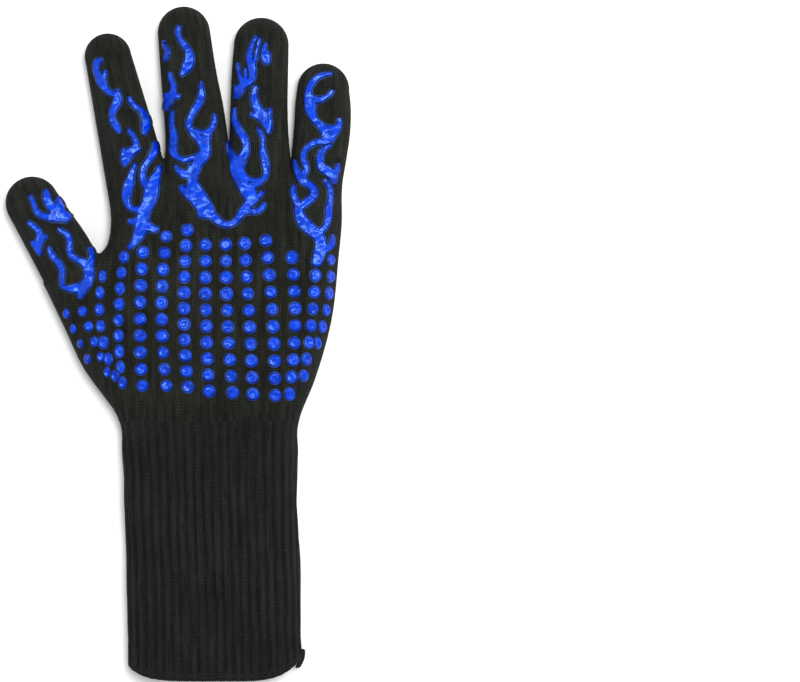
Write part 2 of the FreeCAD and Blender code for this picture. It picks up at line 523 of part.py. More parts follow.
def palm_form(layer):
    offset = OFFSETS[layer]
    wrist = (size("wrist_left"), size("wrist_right"), size("wrist_height"))
    knuckle_left = -size("index_x") + size("index_left_b")
    knuckle_right = size("little_x") + size("little_right_b")
    stations = [
        section(size("wrist_y") - CUT_ROOM, *wrist, offset),
        section(size("wrist_y"), *wrist, offset),
        section(size("heel_y"), size("heel_left"), size("heel_right"), size("palm_height"), offset),
        section(size("palm_y"), size("palm_left"), size("palm_right"), size("palm_height"), offset),
        section(size("crotch_y"), size("crotch_left"), size("crotch_right"), size("palm_height"), offset),
        section(size("blade_y"), size("blade_left"), size("blade_right"), size("palm_height"), offset),
        section(size("knuckle_y") + offset, knuckle_left - 1, knuckle_right, size("knuckle_height"), offset),
    ]
    return loft(f"palm_{layer}", at_origin, stations)


def cuff_form(layer):
    offset = OFFSETS[layer]
    wrist = (size("wrist_left"), size("wrist_right"), size("wrist_height"))
    mouth = (size("mouth_left"), size("mouth_right"), size("waist_height"))
    stations = [
        section(size("wrist_y") + CUT_ROOM, *wrist, offset),
        section(size("wrist_y"), *wrist, offset),
        section(size("wrist_y") - size("cuff_waist_back"), size("waist_left"), size("waist_right"),
                size("waist_height"), offset),
        section(size("wrist_y") - size("cuff_length") - CUT_ROOM, *mouth, offset),
    ]
    return loft(f"cuff_{layer}", at_origin, stations)


digit_forms = {}
hand_forms = {}
for layer in OFFSETS:
    for digit in DIGITS:
        digit_forms[digit, layer] = digit_form(digit, layer)
    pieces = [palm_form(layer), mound_form(layer)] + [digit_forms[digit, layer] for digit in DIGITS]
    hand_forms[layer] = fused(f"hand_{layer}", pieces)

LAYERS = {
    "shell": ("shell_out", "shell_in"),
    "liner": ("liner_out", "liner_in"),
    "print": ("print_out", "print_in"),
}
hand_layers = {}
digit_layers = {}
for layer, (outer, inner) in LAYERS.items():
    hand_layers[layer] = cut(f"hand_{layer}_skin", hand_forms[outer], hand_forms[inner])
    for digit in DIGITS:
        name = f"{digit}_{layer}_skin"
        digit_layers[digit, layer] = cut(name, digit_forms[digit, outer], digit_forms[digit, inner])

# ---------------------------------------------------------------- the folds

LOW = as_size(-5)  # where cuts start, below every form
TABLE = as_size(0)  # the flat that the back lies on
PAST_WRIST = 40.0  # how far the wrist's cuts reach along the glove, on the side that they take away
PAST_CREASE = 190.0  # the same for the thumb crease, across the whole glove
PAST_GLOVE = 150  # half the width of the block that trims the back, and a quarter of its length


def slope(bend):
    """How far one side of a notch leans back for each millimetre of height, so that it closes at bend."""
    return (bend / 2 + size("fold_spare")).tangent()


def digit_bends(digit):
    if digit == "thumb":
        return [size("thumb_tip_bend")]
    return [size("knuckle_bend"), size("middle_bend"), size("middle_bend") * size("tip_follow")]


def cut_reach(digit):
    """How far a digit's cuts reach to its left and to its right."""
    left = "stub_spare" if digit in ("middle", "ring", "little") else "outer_spare"
    right = "stub_spare" if digit in ("index", "middle", "ring") else "outer_spare"
    return size(f"{digit}_left_b") + size(left), size(f"{digit}_right_b") + size(right)


def fold_side(at, sign, rise, top, bend, low=LOW):
    """The three corners of one side of a fold, from its foot up. The side faces -sign."""
    foot = at + size("fold_gap") * sign
    return [(foot, low), (foot, rise), (foot + (top - rise) * slope(bend) * sign, top)]


def digit_slab(digit, name, start, end):
    """Keeps what lies between two folds of a digit. No end means past the tip."""
    bends = digit_bends(digit)
    rise = size(f"{digit}_thick") * size("fold_rise")
    top = size(f"{digit}_thick") + CUT_ROOM
    outline = fold_side(size(f"{digit}_fold_{'abc'[start]}"), 1, rise, top, bends[start], TABLE)
    if end is None:
        far = size(f"{digit}_length") + CUT_ROOM
        outline += [(far, top), (far, TABLE)]
    else:
        outline += fold_side(size(f"{digit}_fold_{'abc'[end]}"), -1, rise, top, bends[end], TABLE)[::-1]
    left, right = cut_reach(digit)
    return slab(name, lambda body: at_digit(body, digit), "YZ_Plane", outline, -left, left + right)


def digit_end_slab(digit):
    """Takes away everything past the first fold of a digit."""
    rise = size(f"{digit}_thick") * size("fold_rise")
    top = size(f"{digit}_thick") + CUT_ROOM
    far = size(f"{digit}_length") + CUT_ROOM
    outline = fold_side(size(f"{digit}_fold_a"), -1, rise, top, digit_bends(digit)[0])
    outline += [(far, top), (far, LOW)]
    left, right = cut_reach(digit)
    name = f"{digit}_off"
    return slab(name, lambda body: at_digit(body, digit), "YZ_Plane", outline, -left, left + right)


def wrist_slab(name, sign):
    """Takes away everything on one side of the wrist, which is +1 for the hand's side."""
    top = size("palm_height") + CUT_ROOM
    rise = size("wrist_height") * size("fold_rise")
    far = size("wrist_y") + as_size(sign * PAST_WRIST)
    outline = fold_side(size("wrist_y"), -sign, rise, top, size("wrist_bend"))
    outline += [(far, top), (far, LOW)]
    left = size("palm_left") + SIDE_ROOM
    wide = left + size("palm_right") + SIDE_ROOM
    return slab(name, at_origin, "YZ_Plane", outline, -left, wide)


def crease_slab(name, sign):
    """Takes away everything on one side of the thumb crease, which is +1 for the palm's side."""
    top = size("palm_height") + CUT_ROOM
    far = as_size(sign * PAST_CREASE)
    outline = fold_side(as_size(0), -sign, size("crease_rise"), top, size("thumb_swing"))
    outline += [(far, top), (far, LOW)]
    wide = size("crease_up") + size("crease_down")
    return slab(name, at_crease, "XZ_Plane", outline, -size("crease_up"), wide)


def table_slab():
    """Takes away everything below the flat that the back lies on."""
    corners = ((-1, -2), (1, -2), (1, 2), (-1, 2))
    outline = [(as_size(x * PAST_GLOVE), as_size(y * PAST_GLOVE)) for x, y in corners]
    return slab("table_off", at_origin, "XY_Plane", outline, LOW, TABLE - LOW)


table_off = table_slab()
finger_ends = [digit_end_slab(digit) for digit in FINGERS]
thumb_end = digit_end_slab("thumb")
cuff_off = wrist_slab("cuff_off", -1)
hand_off = wrist_slab("hand_off", 1)
thumb_off_palm = crease_slab("thumb_side_off", -1)
palm_off_thumb = crease_slab("palm_side_off", 1)
hand_limits = fused("hand_limits", finger_ends + [cuff_off, thumb_off_palm, table_off])
thumb_limits = fused("thumb_limits", [thumb_end, cuff_off, palm_off_thumb, table_off] + finger_ends)
segment_slabs = {}
for digit in FINGERS:
    for start, part in enumerate(("base", "middle", "tip")):
        end = None if part == "tip" else start + 1
        segment_slabs[digit, part] = digit_slab(digit, f"{digit}_{part}_slab", start, end)
segment_slabs["thumb", "tip"] = digit_slab("thumb", "thumb_tip_slab", 0, None)

# ---------------------------------------------------------------- the flames and the dots


def stroke_face(points):
    """A brush stroke as one face between two smooth edges that meet at the stroke's ends."""
    lefts = []
    rights = []
    for k, (x, y, half) in enumerate(points):
        before = points[max(k - 1, 0)]
        after = points[min(k + 1, len(points) - 1)]
        along = Vector(after[0] - before[0], after[1] - before[1], 0).normalize()
        side = Vector(-along.y, along.x, 0) * half
        lefts.append(Vector(x, y, 0) + side)
        rights.append(Vector(x, y, 0) - side)
        if k == 0:
            start = Vector(x, y, 0) - along * half
        end = Vector(x, y, 0) + along * half
    edges = []
    for side in ([start] + rights + [end], [end] + lefts[::-1] + [start]):
        curve = Part.BSplineCurve()
        curve.interpolate(side)
        edges.append(curve.toShape())
    return Part.Face(Part.Wire(edges))


def print_heights():
    """Prints stand up from half the palm's height to above the palm, before they are trimmed to the skin."""
    low = size("palm_height").value / 2
    return low, size("palm_height").value + CUT_ROOM - low


def flame_solid(digit):
    """All of a digit's strokes as upright solids, fused where they cross and stretched with the digit."""
    stretch = size(f"{digit}_length").value / FLAME_LENGTH[digit]
    widen = (size(f"{digit}_left_b").value + size(f"{digit}_right_b").value) / FLAME_WIDTH[digit]
    low, tall = print_heights()
    solids = []
    for stroke in FLAMES[digit]:
        points = [(x * widen, y * stretch if y > 0 else y, half * widen) for x, y, half in stroke]
        face = stroke_face(points)
        face.translate(Vector(0, 0, low))
        solids.append(face.extrude(Vector(0, 0, tall)))
    flames = doc.addObject("Part::Feature", f"{digit}_flame_solid")
    flames.Shape = solids[0].multiFuse(solids[1:]).removeSplitter()
    at_digit(flames, digit)
    return flames


def crease_distance(x, y):
    """How far a point is to the right of the thumb crease."""
    lean = math.radians(size("crease_lean").value)
    away = Vector(x - size("crease_x").value, y - size("crease_y").value, 0)
    return away.x * math.cos(lean) + away.y * math.sin(lean)


def dot_places(columns):
    """The centres of the dots in each column, left out where the notch of the crease has no surface."""
    notch = (size("palm_height") - size("crease_rise")) * slope(size("thumb_swing")) + size("fold_gap")
    places = []
    for top_x, top_y, end_x, end_y, bow, count in columns:
        for k in range(count):
            share = k / (count - 1)
            x = top_x + (end_x - top_x) * share + bow * 4 * share * (1 - share)
            y = top_y + (end_y - top_y) * share
            if abs(crease_distance(x, y)) > notch.value:
                places.append((x, y))
    return places


def dot_solid(name, columns, radius):
    """The dots as upright pegs."""
    low, tall = print_heights()
    pegs = [Part.makeCylinder(radius.value, tall, Vector(x, y, low)) for x, y in dot_places(columns)]
    dots = doc.addObject("Part::Feature", name)
    dots.Shape = Part.makeCompound(pegs)
    return dots


flames = {digit: flame_solid(digit) for digit in DIGITS}
palm_dot_solid = dot_solid("palm_dot_solid", PALM_DOTS, size("dot_radius"))
thumb_dot_solid = dot_solid("thumb_dot_solid", THUMB_DOTS, size("small_dot_radius"))

# ---------------------------------------------------------------- the named pieces

nodes = []


def keep(thing, name):
    """Marks a finished piece as one of the glove's nodes."""
    thing.Label = name
    nodes.append(thing)
    return thing


# cuff: shell and liner between the wrist and the hem, and the overlocked hem with its thread end
mouth_y = size("wrist_y") - size("cuff_length")
hem_y = mouth_y + size("hem_length")
past_y = mouth_y - CUT_ROOM * 2
over_cuff = size("waist_height") + SIDE_ROOM
mouth_left = size("mouth_left") + SIDE_ROOM
mouth_wide = mouth_left + size("mouth_right") + SIDE_ROOM
mouth_off = slab("mouth_off", at_origin, "YZ_Plane",
                 [(hem_y, LOW), (hem_y, over_cuff), (past_y, over_cuff), (past_y, LOW)],
                 -mouth_left, mouth_wide)
cuff_limits = fused("cuff_limits", [hand_off, mouth_off, table_off])
for layer in ("shell", "liner"):
    outer, inner = LAYERS[layer]
    skin = cut(f"cuff_{layer}_skin", cuff_form(outer), cuff_form(inner))
    keep(cut(f"cuff_{layer}_piece", skin, cuff_limits), f"cuff_{layer}")


def hem_ring(name, offset, low, extra):
    """One of the two blocks whose difference is the hem."""
    left = size("mouth_left") + offset
    right = size("mouth_right") + offset
    high = size("waist_height") + offset
    radius = (high - low) * size("corner_share")
    stations = [(hem_y + extra, left, right, low, high, radius), (mouth_y - extra, left, right, low, high, radius)]
    return loft(name, at_origin, stations)


hem_inside = OFFSETS["liner_in"] - size("hem_proud")
hem_block = hem_ring("hem_block", size("hem_proud"), as_size(0), as_size(0))
hem_hole = hem_ring("hem_hole", hem_inside, -hem_inside, as_size(CUT_ROOM))
keep(cut("hem", hem_block, hem_hole), "hem_overlock")

tail = doc.addObject("Part::Box", "tail_box")
tail.Length = size("tail_thick").value
tail.Width = size("tail_length").value
tail.Height = size("tail_thick").value
bind(tail, "Length", size("tail_thick"))
bind(tail, "Width", size("tail_length"))
bind(tail, "Height", size("tail_thick"))
bind(tail, "Placement.Base.x", size("mouth_right") + size("layer_gap"))
bind(tail, "Placement.Base.y", hem_y + size("layer_gap"))
bind(tail, "Placement.Base.z", (size("waist_height") - size("tail_thick")) / 2)
doc.recompute()
tail_round = doc.addObject("Part::Fillet", "tail_round")
tail_round.Base = tail
TAIL_ROUND = 0.4  # edge radius over the thickness of the thread end
tail_radius = size("tail_thick").value * TAIL_ROUND
tail_round.Edges = [(k + 1, tail_radius, tail_radius) for k in range(12)]
keep(tail_round, "hem_tail")

# hand and thumb mound: the fused layers, trimmed at the wrist, the crease and the finger roots
for layer in ("shell", "liner"):
    keep(cut(f"hand_{layer}_piece", hand_layers[layer], hand_limits), f"hand_{layer}")
    keep(cut(f"thumb_{layer}_piece", hand_layers[layer], thumb_limits), f"thumb_base_{layer}")
hand_print = cut("hand_print_piece", hand_layers["print"], hand_limits)
thumb_print = cut("thumb_print_piece", hand_layers["print"], thumb_limits)
finger_flames = fused("finger_flames", [flames[digit] for digit in FINGERS])
keep(common("palm_dots_piece", hand_print, palm_dot_solid), "palm_dots")
keep(common("palm_flames_piece", hand_print, finger_flames), "palm_flames")
keep(common("thumb_dots_piece", thumb_print, thumb_dot_solid), "thumb_base_dots")
keep(common("thumb_flames_piece", thumb_print, flames["thumb"]), "thumb_base_flames")

# digits: each layer of each segment between its folds
for (digit, part), segment in segment_slabs.items():
    for layer in ("shell", "liner"):
        name = f"{digit}_{part}_{layer}"
        keep(common(f"{name}_piece", digit_layers[digit, layer], segment), name)
    name = f"{digit}_{part}_flames"
    skin = common(f"{name}_skin", digit_layers[digit, "print"], segment)
    keep(common(f"{name}_piece", skin, flames[digit]), name)

# ---------------------------------------------------------------- checks and export


def main():
    doc.recompute()
    for thing in doc.Objects:
        if "Invalid" in thing.State or "Error" in thing.State:
            raise RuntimeError(f"{thing.Label} failed: {thing.State}")
    for node in nodes:
        shape = node.Shape
        if shape.isNull() or not shape.isValid() or not shape.Solids:
            raise RuntimeError(f"{node.Label} has no sound solid")
    os.makedirs("parts", exist_ok=True)
    for node in nodes:
        node.Shape.exportStep(f"parts/{node.Label}.step")
        print(f"{node.Label}: {len(node.Shape.Solids)} solids, {node.Shape.Volume:.0f} mm3")
    print(len(nodes), "nodes")


main()
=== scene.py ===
# %% [markdown]
# # A knitted grill glove
# This lesson builds the looks of one left-hand heat resistant glove. The CAD model says where every body
# is and how it moves. Here the same glove gets its real surface: a dark knitted hand, a rib-knit cuff, a
# cotton lining, a sewn hem and a thick blue silicone print of flames and dots.
# Lengths are in millimetres while a shape is worked out, because a glove maker thinks in them, and they
# are turned into metres when a mesh is made.

# %% Load the fixed frame
import math

import bpy
import numpy as np
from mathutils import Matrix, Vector


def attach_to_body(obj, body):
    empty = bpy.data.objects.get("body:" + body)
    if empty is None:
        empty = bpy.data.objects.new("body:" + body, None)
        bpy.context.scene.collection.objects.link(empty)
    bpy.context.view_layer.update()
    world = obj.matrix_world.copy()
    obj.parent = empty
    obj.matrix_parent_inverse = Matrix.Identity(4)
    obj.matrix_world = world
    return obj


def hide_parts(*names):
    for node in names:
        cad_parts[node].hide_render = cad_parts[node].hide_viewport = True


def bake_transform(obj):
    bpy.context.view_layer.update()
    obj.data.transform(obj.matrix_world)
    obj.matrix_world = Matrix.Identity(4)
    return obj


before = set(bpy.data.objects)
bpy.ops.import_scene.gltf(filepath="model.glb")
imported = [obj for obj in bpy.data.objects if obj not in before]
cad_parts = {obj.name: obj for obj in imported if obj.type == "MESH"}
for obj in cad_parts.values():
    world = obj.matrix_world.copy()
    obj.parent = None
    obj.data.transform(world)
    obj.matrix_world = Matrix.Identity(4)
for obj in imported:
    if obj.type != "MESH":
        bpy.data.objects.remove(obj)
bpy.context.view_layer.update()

MM = 0.001

# %% [markdown]
# ## The pattern of the hand
# A knitter describes a glove by its pattern: the width of the palm row by row, and for every digit where
# it starts, which way it leans, how long it is and how wide it is along its length. A smooth line through
# a few measured widths is enough, because knitted cloth can't hold a corner. The folds are where the
# finger joints are, and they match the joints of the CAD frame.

# %% Widths, lengths and folds
PALM_LEFT = ((-176, -24.2), (-101, -25.6), (-61, -27.2), (-41, -28.6), (-20, -31.0), (10, -34.5),
             (43, -36.6), (64, -33.4), (88, -32.6))
PALM_RIGHT = ((-176, 65.0), (-120, 64.0), (-61, 62.6), (-41, 64.2), (-20, 72.3), (10, 80.9), (45, 85.0),
              (64, 86.6), (88, 85.0))
PALM_THICK = ((-176, 18.8), (-120, 19.4), (-61, 19.8), (-41, 20.6), (-10, 22.0), (45, 22.0), (70, 21.0),
              (93, 19.0))
PALM_TOP = 88.0

DIGITS = {
    "index": {
        "place": (-21.3, 90.2), "lean": 12.8, "length": 73.4, "thick": 18.0, "folds": (8.5, 31.0, 52.0),
        "left": ((-38, 19.0), (-23, 17.6), (-2, 16.5), (20, 15.3), (40, 14.2), (60, 13.2)),
        "right": ((-24, 18.6), (-12, 17.0), (0, 15.5), (20, 14.0), (40, 12.5), (60, 11.0)),
    },
    "middle": {
        "place": (11.2, 101.1), "lean": 6.3, "length": 75.2, "thick": 18.4, "folds": (8.5, 31.5, 53.0),
        "left": ((-24, 20.4), (-5.2, 18.1), (4, 16.5), (20, 15.6), (40, 15.0), (62, 14.2)),
        "right": ((-24, 19.0), (0, 16.6), (4, 16.4), (20, 15.8), (40, 14.0), (62, 13.0)),
    },
    "ring": {
        "place": (42.9, 102.7), "lean": -1.6, "length": 67.4, "thick": 18.0, "folds": (8.5, 29.5, 48.0),
        "left": ((-24, 17.8), (0, 15.4), (20, 15.2), (40, 15.0), (52, 14.3)),
        "right": ((-24, 19.4), (-6.8, 17.1), (4, 15.8), (20, 14.7), (40, 14.4), (52, 14.3)),
    },
    "little": {
        "place": (74.9, 94.9), "lean": -2.9, "length": 51.4, "thick": 16.4, "folds": (7.5, 23.0, 37.0),
        "left": ((-24, 17.8), (0, 15.1), (20, 14.2), (30, 14.2), (38, 13.6)),
        "right": ((-30, 11.5), (-18, 11.9), (-10, 12.6), (0, 13.8), (20, 15.3), (30, 14.8), (38, 13.6)),
    },
    "thumb": {
        "place": (-52.0, 35.1), "lean": 28.7, "length": 58.4, "thick": 19.5, "folds": (27.0,),
        "left": ((-6, 17.0), (0, 16.8), (20, 16.4), (44, 16.2)),
        "right": ((-12, 16.6), (0, 15.2), (20, 14.2), (30, 13.0), (44, 11.5)),
    },
}
FINGERS = ("index", "middle", "ring", "little")
MOUND_LEFT = ((-90, 14.0), (-77, 15.7), (-64.5, 17.5), (-45, 20.0), (-22, 18.7), (0, 17.0))
MOUND_RIGHT, MOUND_BOTTOM, MOUND_TOP = 26.0, -88.0, 4.0
CREASE_PLACE, CREASE_LEAN = (-38.5, 42.9), 7.47
WRIST_Y, MOUTH_Y = -41.0, -176.0
print(len(DIGITS), "digits,", sum(len(facts["folds"]) for facts in DIGITS.values()), "finger folds")

# %% [markdown]
# ## Smooth lines and digit coordinates
# A cubic through the measured widths gives an edge without kinks. Each digit has its own coordinates: how
# far across it a point is and how far along it, counted from the root. All the later steps (cloth, print,
# knit direction, folds) ask the same questions in these coordinates, so they are written once.


# %% Smooth lines and digit coordinates
def smooth_line(knots):
    """A smooth function through (position, value) pairs, level past its ends."""
    at = np.array([knot[0] for knot in knots], float)
    value = np.array([knot[1] for knot in knots], float)
    slope = np.gradient(value, at)

    def read(x):
        x = np.clip(x, at[0], at[-1])
        k = np.clip(np.searchsorted(at, x) - 1, 0, len(at) - 2)
        width = at[k + 1] - at[k]
        t = (x - at[k]) / width
        rise = t * t * (3 - 2 * t)
        start_turn = t * (1 - t) ** 2 * width * slope[k]
        end_turn = t * t * (1 - t) * width * slope[k + 1]
        return value[k] * (1 - rise) + value[k + 1] * rise + start_turn - end_turn

    return read


palm_left, palm_right, palm_thick = (smooth_line(knots) for knots in (PALM_LEFT, PALM_RIGHT, PALM_THICK))
mound_left = smooth_line(MOUND_LEFT)
EDGES = {digit: (smooth_line(facts["left"]), smooth_line(facts["right"])) for digit, facts in DIGITS.items()}


def smooth_step(x):
    x = np.clip(x, 0, 1)
    return x * x * (3 - 2 * x)


def to_digit(digit, x, y):
    """Across and along a digit."""
    angle = math.radians(DIGITS[digit]["lean"])
    dx = x - DIGITS[digit]["place"][0]
    dy = y - DIGITS[digit]["place"][1]
    return dx * math.cos(angle) + dy * math.sin(angle), dy * math.cos(angle) - dx * math.sin(angle)


def from_digit(digit, across, along):
    angle = math.radians(DIGITS[digit]["lean"])
    x = DIGITS[digit]["place"][0] + across * math.cos(angle) - along * math.sin(angle)
    y = DIGITS[digit]["place"][1] + across * math.sin(angle) + along * math.cos(angle)
    return x, y


def crease_distance(x, y):
    """How far a point is to the right of the crease that the thumb swings about."""
    angle = math.radians(CREASE_LEAN)
    return (x - CREASE_PLACE[0]) * math.cos(angle) + (y - CREASE_PLACE[1]) * math.sin(angle)


print("palm width at the knuckles", round(float(palm_right(80) - palm_left(80)), 1), "mm")

# %% [markdown]
# ## The form of the glove as a depth
# A glove lying on a table is a pillow over its own outline. How high the cloth stands depends on how far a
# point is inside the edge: it rises steeply from the edge and levels out. One could loft a tube per digit
# and join them by hand, but the joins between the fingers are hard to keep smooth. A depth function joins
# them by itself: it is the largest of the depths of the palm, the thumb's mound and the digits, rounded a
# little where they meet.


# %% Depth, thickness and rounding at any point
ROUND_POWER = 2.3
RIM_SHARE = 0.42
PALM_ROUND, MOUND_ROUND, DIGIT_ROUND = 16.0, 14.0, 11.5
TIP_FLATTEN = 0.12
MOUND_THICK = 20.6
MOUND_BLEND, DIGIT_BLEND = 5.0, 2.5
DIGIT_DOWN = 32.0  # how far a digit's form reaches down into the palm
WAVE_HEIGHT = 0.32


def soft_max(a, b, blend):
    near = np.clip(blend - np.abs(a - b), 0, None) / blend
    return np.maximum(a, b) + near * near * blend / 4


def digit_depth(digit, x, y):
    """How far inside a digit's edge a point is. The tip is half an ellipse."""
    facts = DIGITS[digit]
    across, along = to_digit(digit, x, y)
    left, right = (edge(along) for edge in EDGES[digit])
    half = (left + right) / 2
    away = np.abs(across - (right - left) / 2)
    start = facts["length"] - (EDGES[digit][0](99.0) + EDGES[digit][1](99.0)) / 2
    over = np.clip((along - start) / (facts["length"] - start), 0, None)
    return np.minimum((1 - np.hypot(away / half, over)) * half, along + DIGIT_DOWN)


def pull(depth):
    """How strongly a part of the hand decides the thickness where it is this deep."""
    return np.exp(np.clip(depth, -60, 9) / 3)


def outline(x, y):
    """Depth inside the glove's edge, thickness of the glove and width of its rounded side."""
    palm = np.minimum(np.minimum(x - palm_left(y), palm_right(y) - x), PALM_TOP - y)
    across, along = to_digit("thumb", x, y)
    mound = np.minimum(np.minimum(across + mound_left(along), MOUND_RIGHT - across),
                       np.minimum(along - MOUND_BOTTOM, MOUND_TOP - along))
    depths = {digit: digit_depth(digit, x, y) for digit in DIGITS}
    fingers = np.maximum.reduce([depths[digit] for digit in FINGERS])
    depth = soft_max(palm, mound, MOUND_BLEND)
    for part in (depths["thumb"], fingers):
        depth = soft_max(depth, part, DIGIT_BLEND)
    weights = [pull(palm), pull(mound)]
    thick = [palm_thick(y), MOUND_THICK]
    rounds = [PALM_ROUND, MOUND_ROUND]
    for digit, facts in DIGITS.items():
        along = to_digit(digit, x, y)[1]
        weights.append(pull(depths[digit]) * smooth_step((along + 26) / 24))
        thick.append(facts["thick"] * (1 - TIP_FLATTEN * smooth_step(along / facts["length"])))
        rounds.append(DIGIT_ROUND)
    total = sum(weights)
    mean_thick, mean_round = (sum(w * v for w, v in zip(weights, values)) / total
                              for values in (thick, rounds))
    return depth, mean_thick, mean_round


def sides(x, y, inset):
    """Rim height, height above the rim, depth below it, and how far towards the edge a point is (0 to 1)."""
    depth, thick, rounding = outline(x, y)
    rim = thick * RIM_SHARE
    toward = np.clip(1 - (depth - inset) / (rounding - inset), 0, None)
    return rim, thick - rim - inset, rim - inset, toward


def bulge(toward):
    """The share of its full height that the cloth has, from 1 inside to 0 at the edge."""
    return np.clip(1 - np.clip(toward, 0, 1) ** ROUND_POWER, 0, 1) ** (1 / ROUND_POWER)


def pillow(z, rim, above, below, toward):
    """Negative inside a rounded form, zero on its surface."""
    share = np.where(z > rim, (z - rim) / above, (rim - z) / below)
    return ((toward ** ROUND_POWER + share ** ROUND_POWER) ** (1 / ROUND_POWER) - 1) * 10


def field(x, y, z, inset):
    """Negative inside the glove, zero on its surface."""
    return pillow(z, *sides(x, y, inset))


WAVES = np.random.default_rng(7).uniform((0.10, 0, 0), (0.34, math.pi, 2 * math.pi), (9, 3))


def waves(x, y):
    """Gentle unevenness of soft cloth, about -1 to 1."""
    total = 0
    for pace, turn, shift in WAVES:
        total = total + np.sin((x * math.cos(turn) + y * math.sin(turn)) * pace + shift)
    return total / 4


def relief(x, y, z):
    """How far the cloth is lifted from its plain form. The side on the table lies flat."""
    depth, thick, _ = outline(x, y)
    upper = smooth_step((z / thick - 0.35) / 0.4)
    inner = smooth_step(depth / 6)
    return waves(x, y) * WAVE_HEIGHT * upper * inner


print("thickness in the middle of the palm", round(float(outline(20.0, 20.0)[1]), 1), "mm")

# %% [markdown]
# ## From a depth to a mesh
# A surface net turns any such function into quads: the space is cut into small cubes, each cube that the
# surface crosses gets one vertex where its edges are crossed, and neighbours are joined. Marching cubes
# would also do, but it leaves thin triangles that catch the light, where a net gives the even quads that
# cloth needs. The vertices are then slid onto the surface and evened out a few times.


# %% A surface net
CLOTH_CELL, LINING_CELL = 1.15, 2.7


def net(values, origin, step):
    """Vertices and quads of the zero surface of a grid of values."""
    inside = values < 0
    shape = np.array(values.shape) - 1
    corners = [np.array(((k >> 2) & 1, (k >> 1) & 1, k & 1)) for k in range(8)]
    count = np.zeros(shape, int)
    for c in corners:
        count += inside[c[0]:c[0] + shape[0], c[1]:c[1] + shape[1], c[2]:c[2] + shape[2]]
    mixed = (count > 0) & (count < 8)
    number = np.full(shape, -1)
    number[mixed] = np.arange(mixed.sum())
    cells = np.argwhere(mixed)
    total = np.zeros((len(cells), 3))
    hits = np.zeros(len(cells))
    for a in corners:
        for axis in range(3):
            if a[axis]:
                continue
            b = a.copy()
            b[axis] = 1
            va = values[tuple((cells + a).T)]
            vb = values[tuple((cells + b).T)]
            crossed = (va < 0) != (vb < 0)
            share = va / np.where(crossed, va - vb, 1)
            total[crossed] += (cells + a + share[:, None] * (b - a))[crossed]
            hits += crossed
    vertices = origin + step * total / hits[:, None]
    quads = []
    for axis in range(3):
        one, two = (axis + 1) % 3, (axis + 2) % 3
        low = np.take(inside, range(shape[axis]), axis)
        high = np.take(inside, range(1, shape[axis] + 1), axis)
        for flip in (False, True):
            spots = np.argwhere((low & ~high) if not flip else (high & ~low))
            fine = (spots[:, one] > 0) & (spots[:, two] > 0) & (spots[:, one] < shape[one]) & (
                spots[:, two] < shape[two])
            spots = spots[fine]
            ring = []
            for da, db in ((1, 1), (0, 1), (0, 0), (1, 0)):
                spot = spots.copy()
                spot[:, one] -= da
                spot[:, two] -= db
                ring.append(number[tuple(spot.T)])
            quads.append(np.stack(ring[::-1] if flip else ring, 1))
    return vertices, np.vstack(quads)


def even_out(points, quads, rounds, settle):
    """Slides every inner vertex towards its neighbours' middle, then back onto the surface."""
    edges = np.vstack([quads[:, (k, (k + 1) % 4)] for k in range(4)])
    pairs, used = np.unique(np.sort(edges, 1), axis=0, return_counts=True)
    loose = np.ones(len(points), bool)
    loose[pairs[used == 1].ravel()] = False
    count = np.bincount(pairs.ravel(), minlength=len(points))[:, None]
    for _ in range(rounds):
        total = np.zeros_like(points)
        np.add.at(total, pairs[:, 0], points[pairs[:, 1]])
        np.add.at(total, pairs[:, 1], points[pairs[:, 0]])
        points = np.where(loose[:, None], points * 0.4 + total / count * 0.6, points)
        points = settle(points)
    return points


def settle_on(inset):
    """A function that moves points along the slope of the field until they lie on the surface."""
    def settle(points):
        for _ in range(2):
            here = field(*points.T, inset)
            slope = np.stack([field(*(points + nudge).T, inset) - field(*(points - nudge).T, inset)
                              for nudge in np.eye(3) * 0.05], 1) / 0.1
            step = here[:, None] * slope / np.maximum((slope ** 2).sum(1), 0.05)[:, None]
            length = np.linalg.norm(step, axis=1)[:, None]
            points = points - step * np.minimum(1, 0.8 / np.maximum(length, 1e-6))
        return points
    return settle


def hand_net(inset, step, rounds):
    """The cloth of the hand, inset inside its outer surface, open at the wrist."""
    low = np.array((-92.0, WRIST_Y, -1.0))
    high = np.array((98.0, 181.0, 25.0))
    grid = [np.arange(a, b + step, step) for a, b in zip(low, high)]
    x, y = np.meshgrid(grid[0], grid[1], indexing="ij")
    values = pillow(grid[2][None, None, :], *(part[..., None] for part in sides(x, y, inset)))
    points, quads = net(values, low, step)
    border = points[:, 1] < WRIST_Y + step * 0.99
    points = settle_on(inset)(points)
    points[border, 1] = WRIST_Y
    points = even_out(points, quads, rounds, settle_on(inset))
    points[border, 1] = WRIST_Y
    points[:, 2] += relief(*points.T)
    return points, quads


cloth_points, cloth_quads = hand_net(0.0, CLOTH_CELL, 4)
print("hand cloth:", len(cloth_points), "vertices,", len(cloth_quads), "quads")
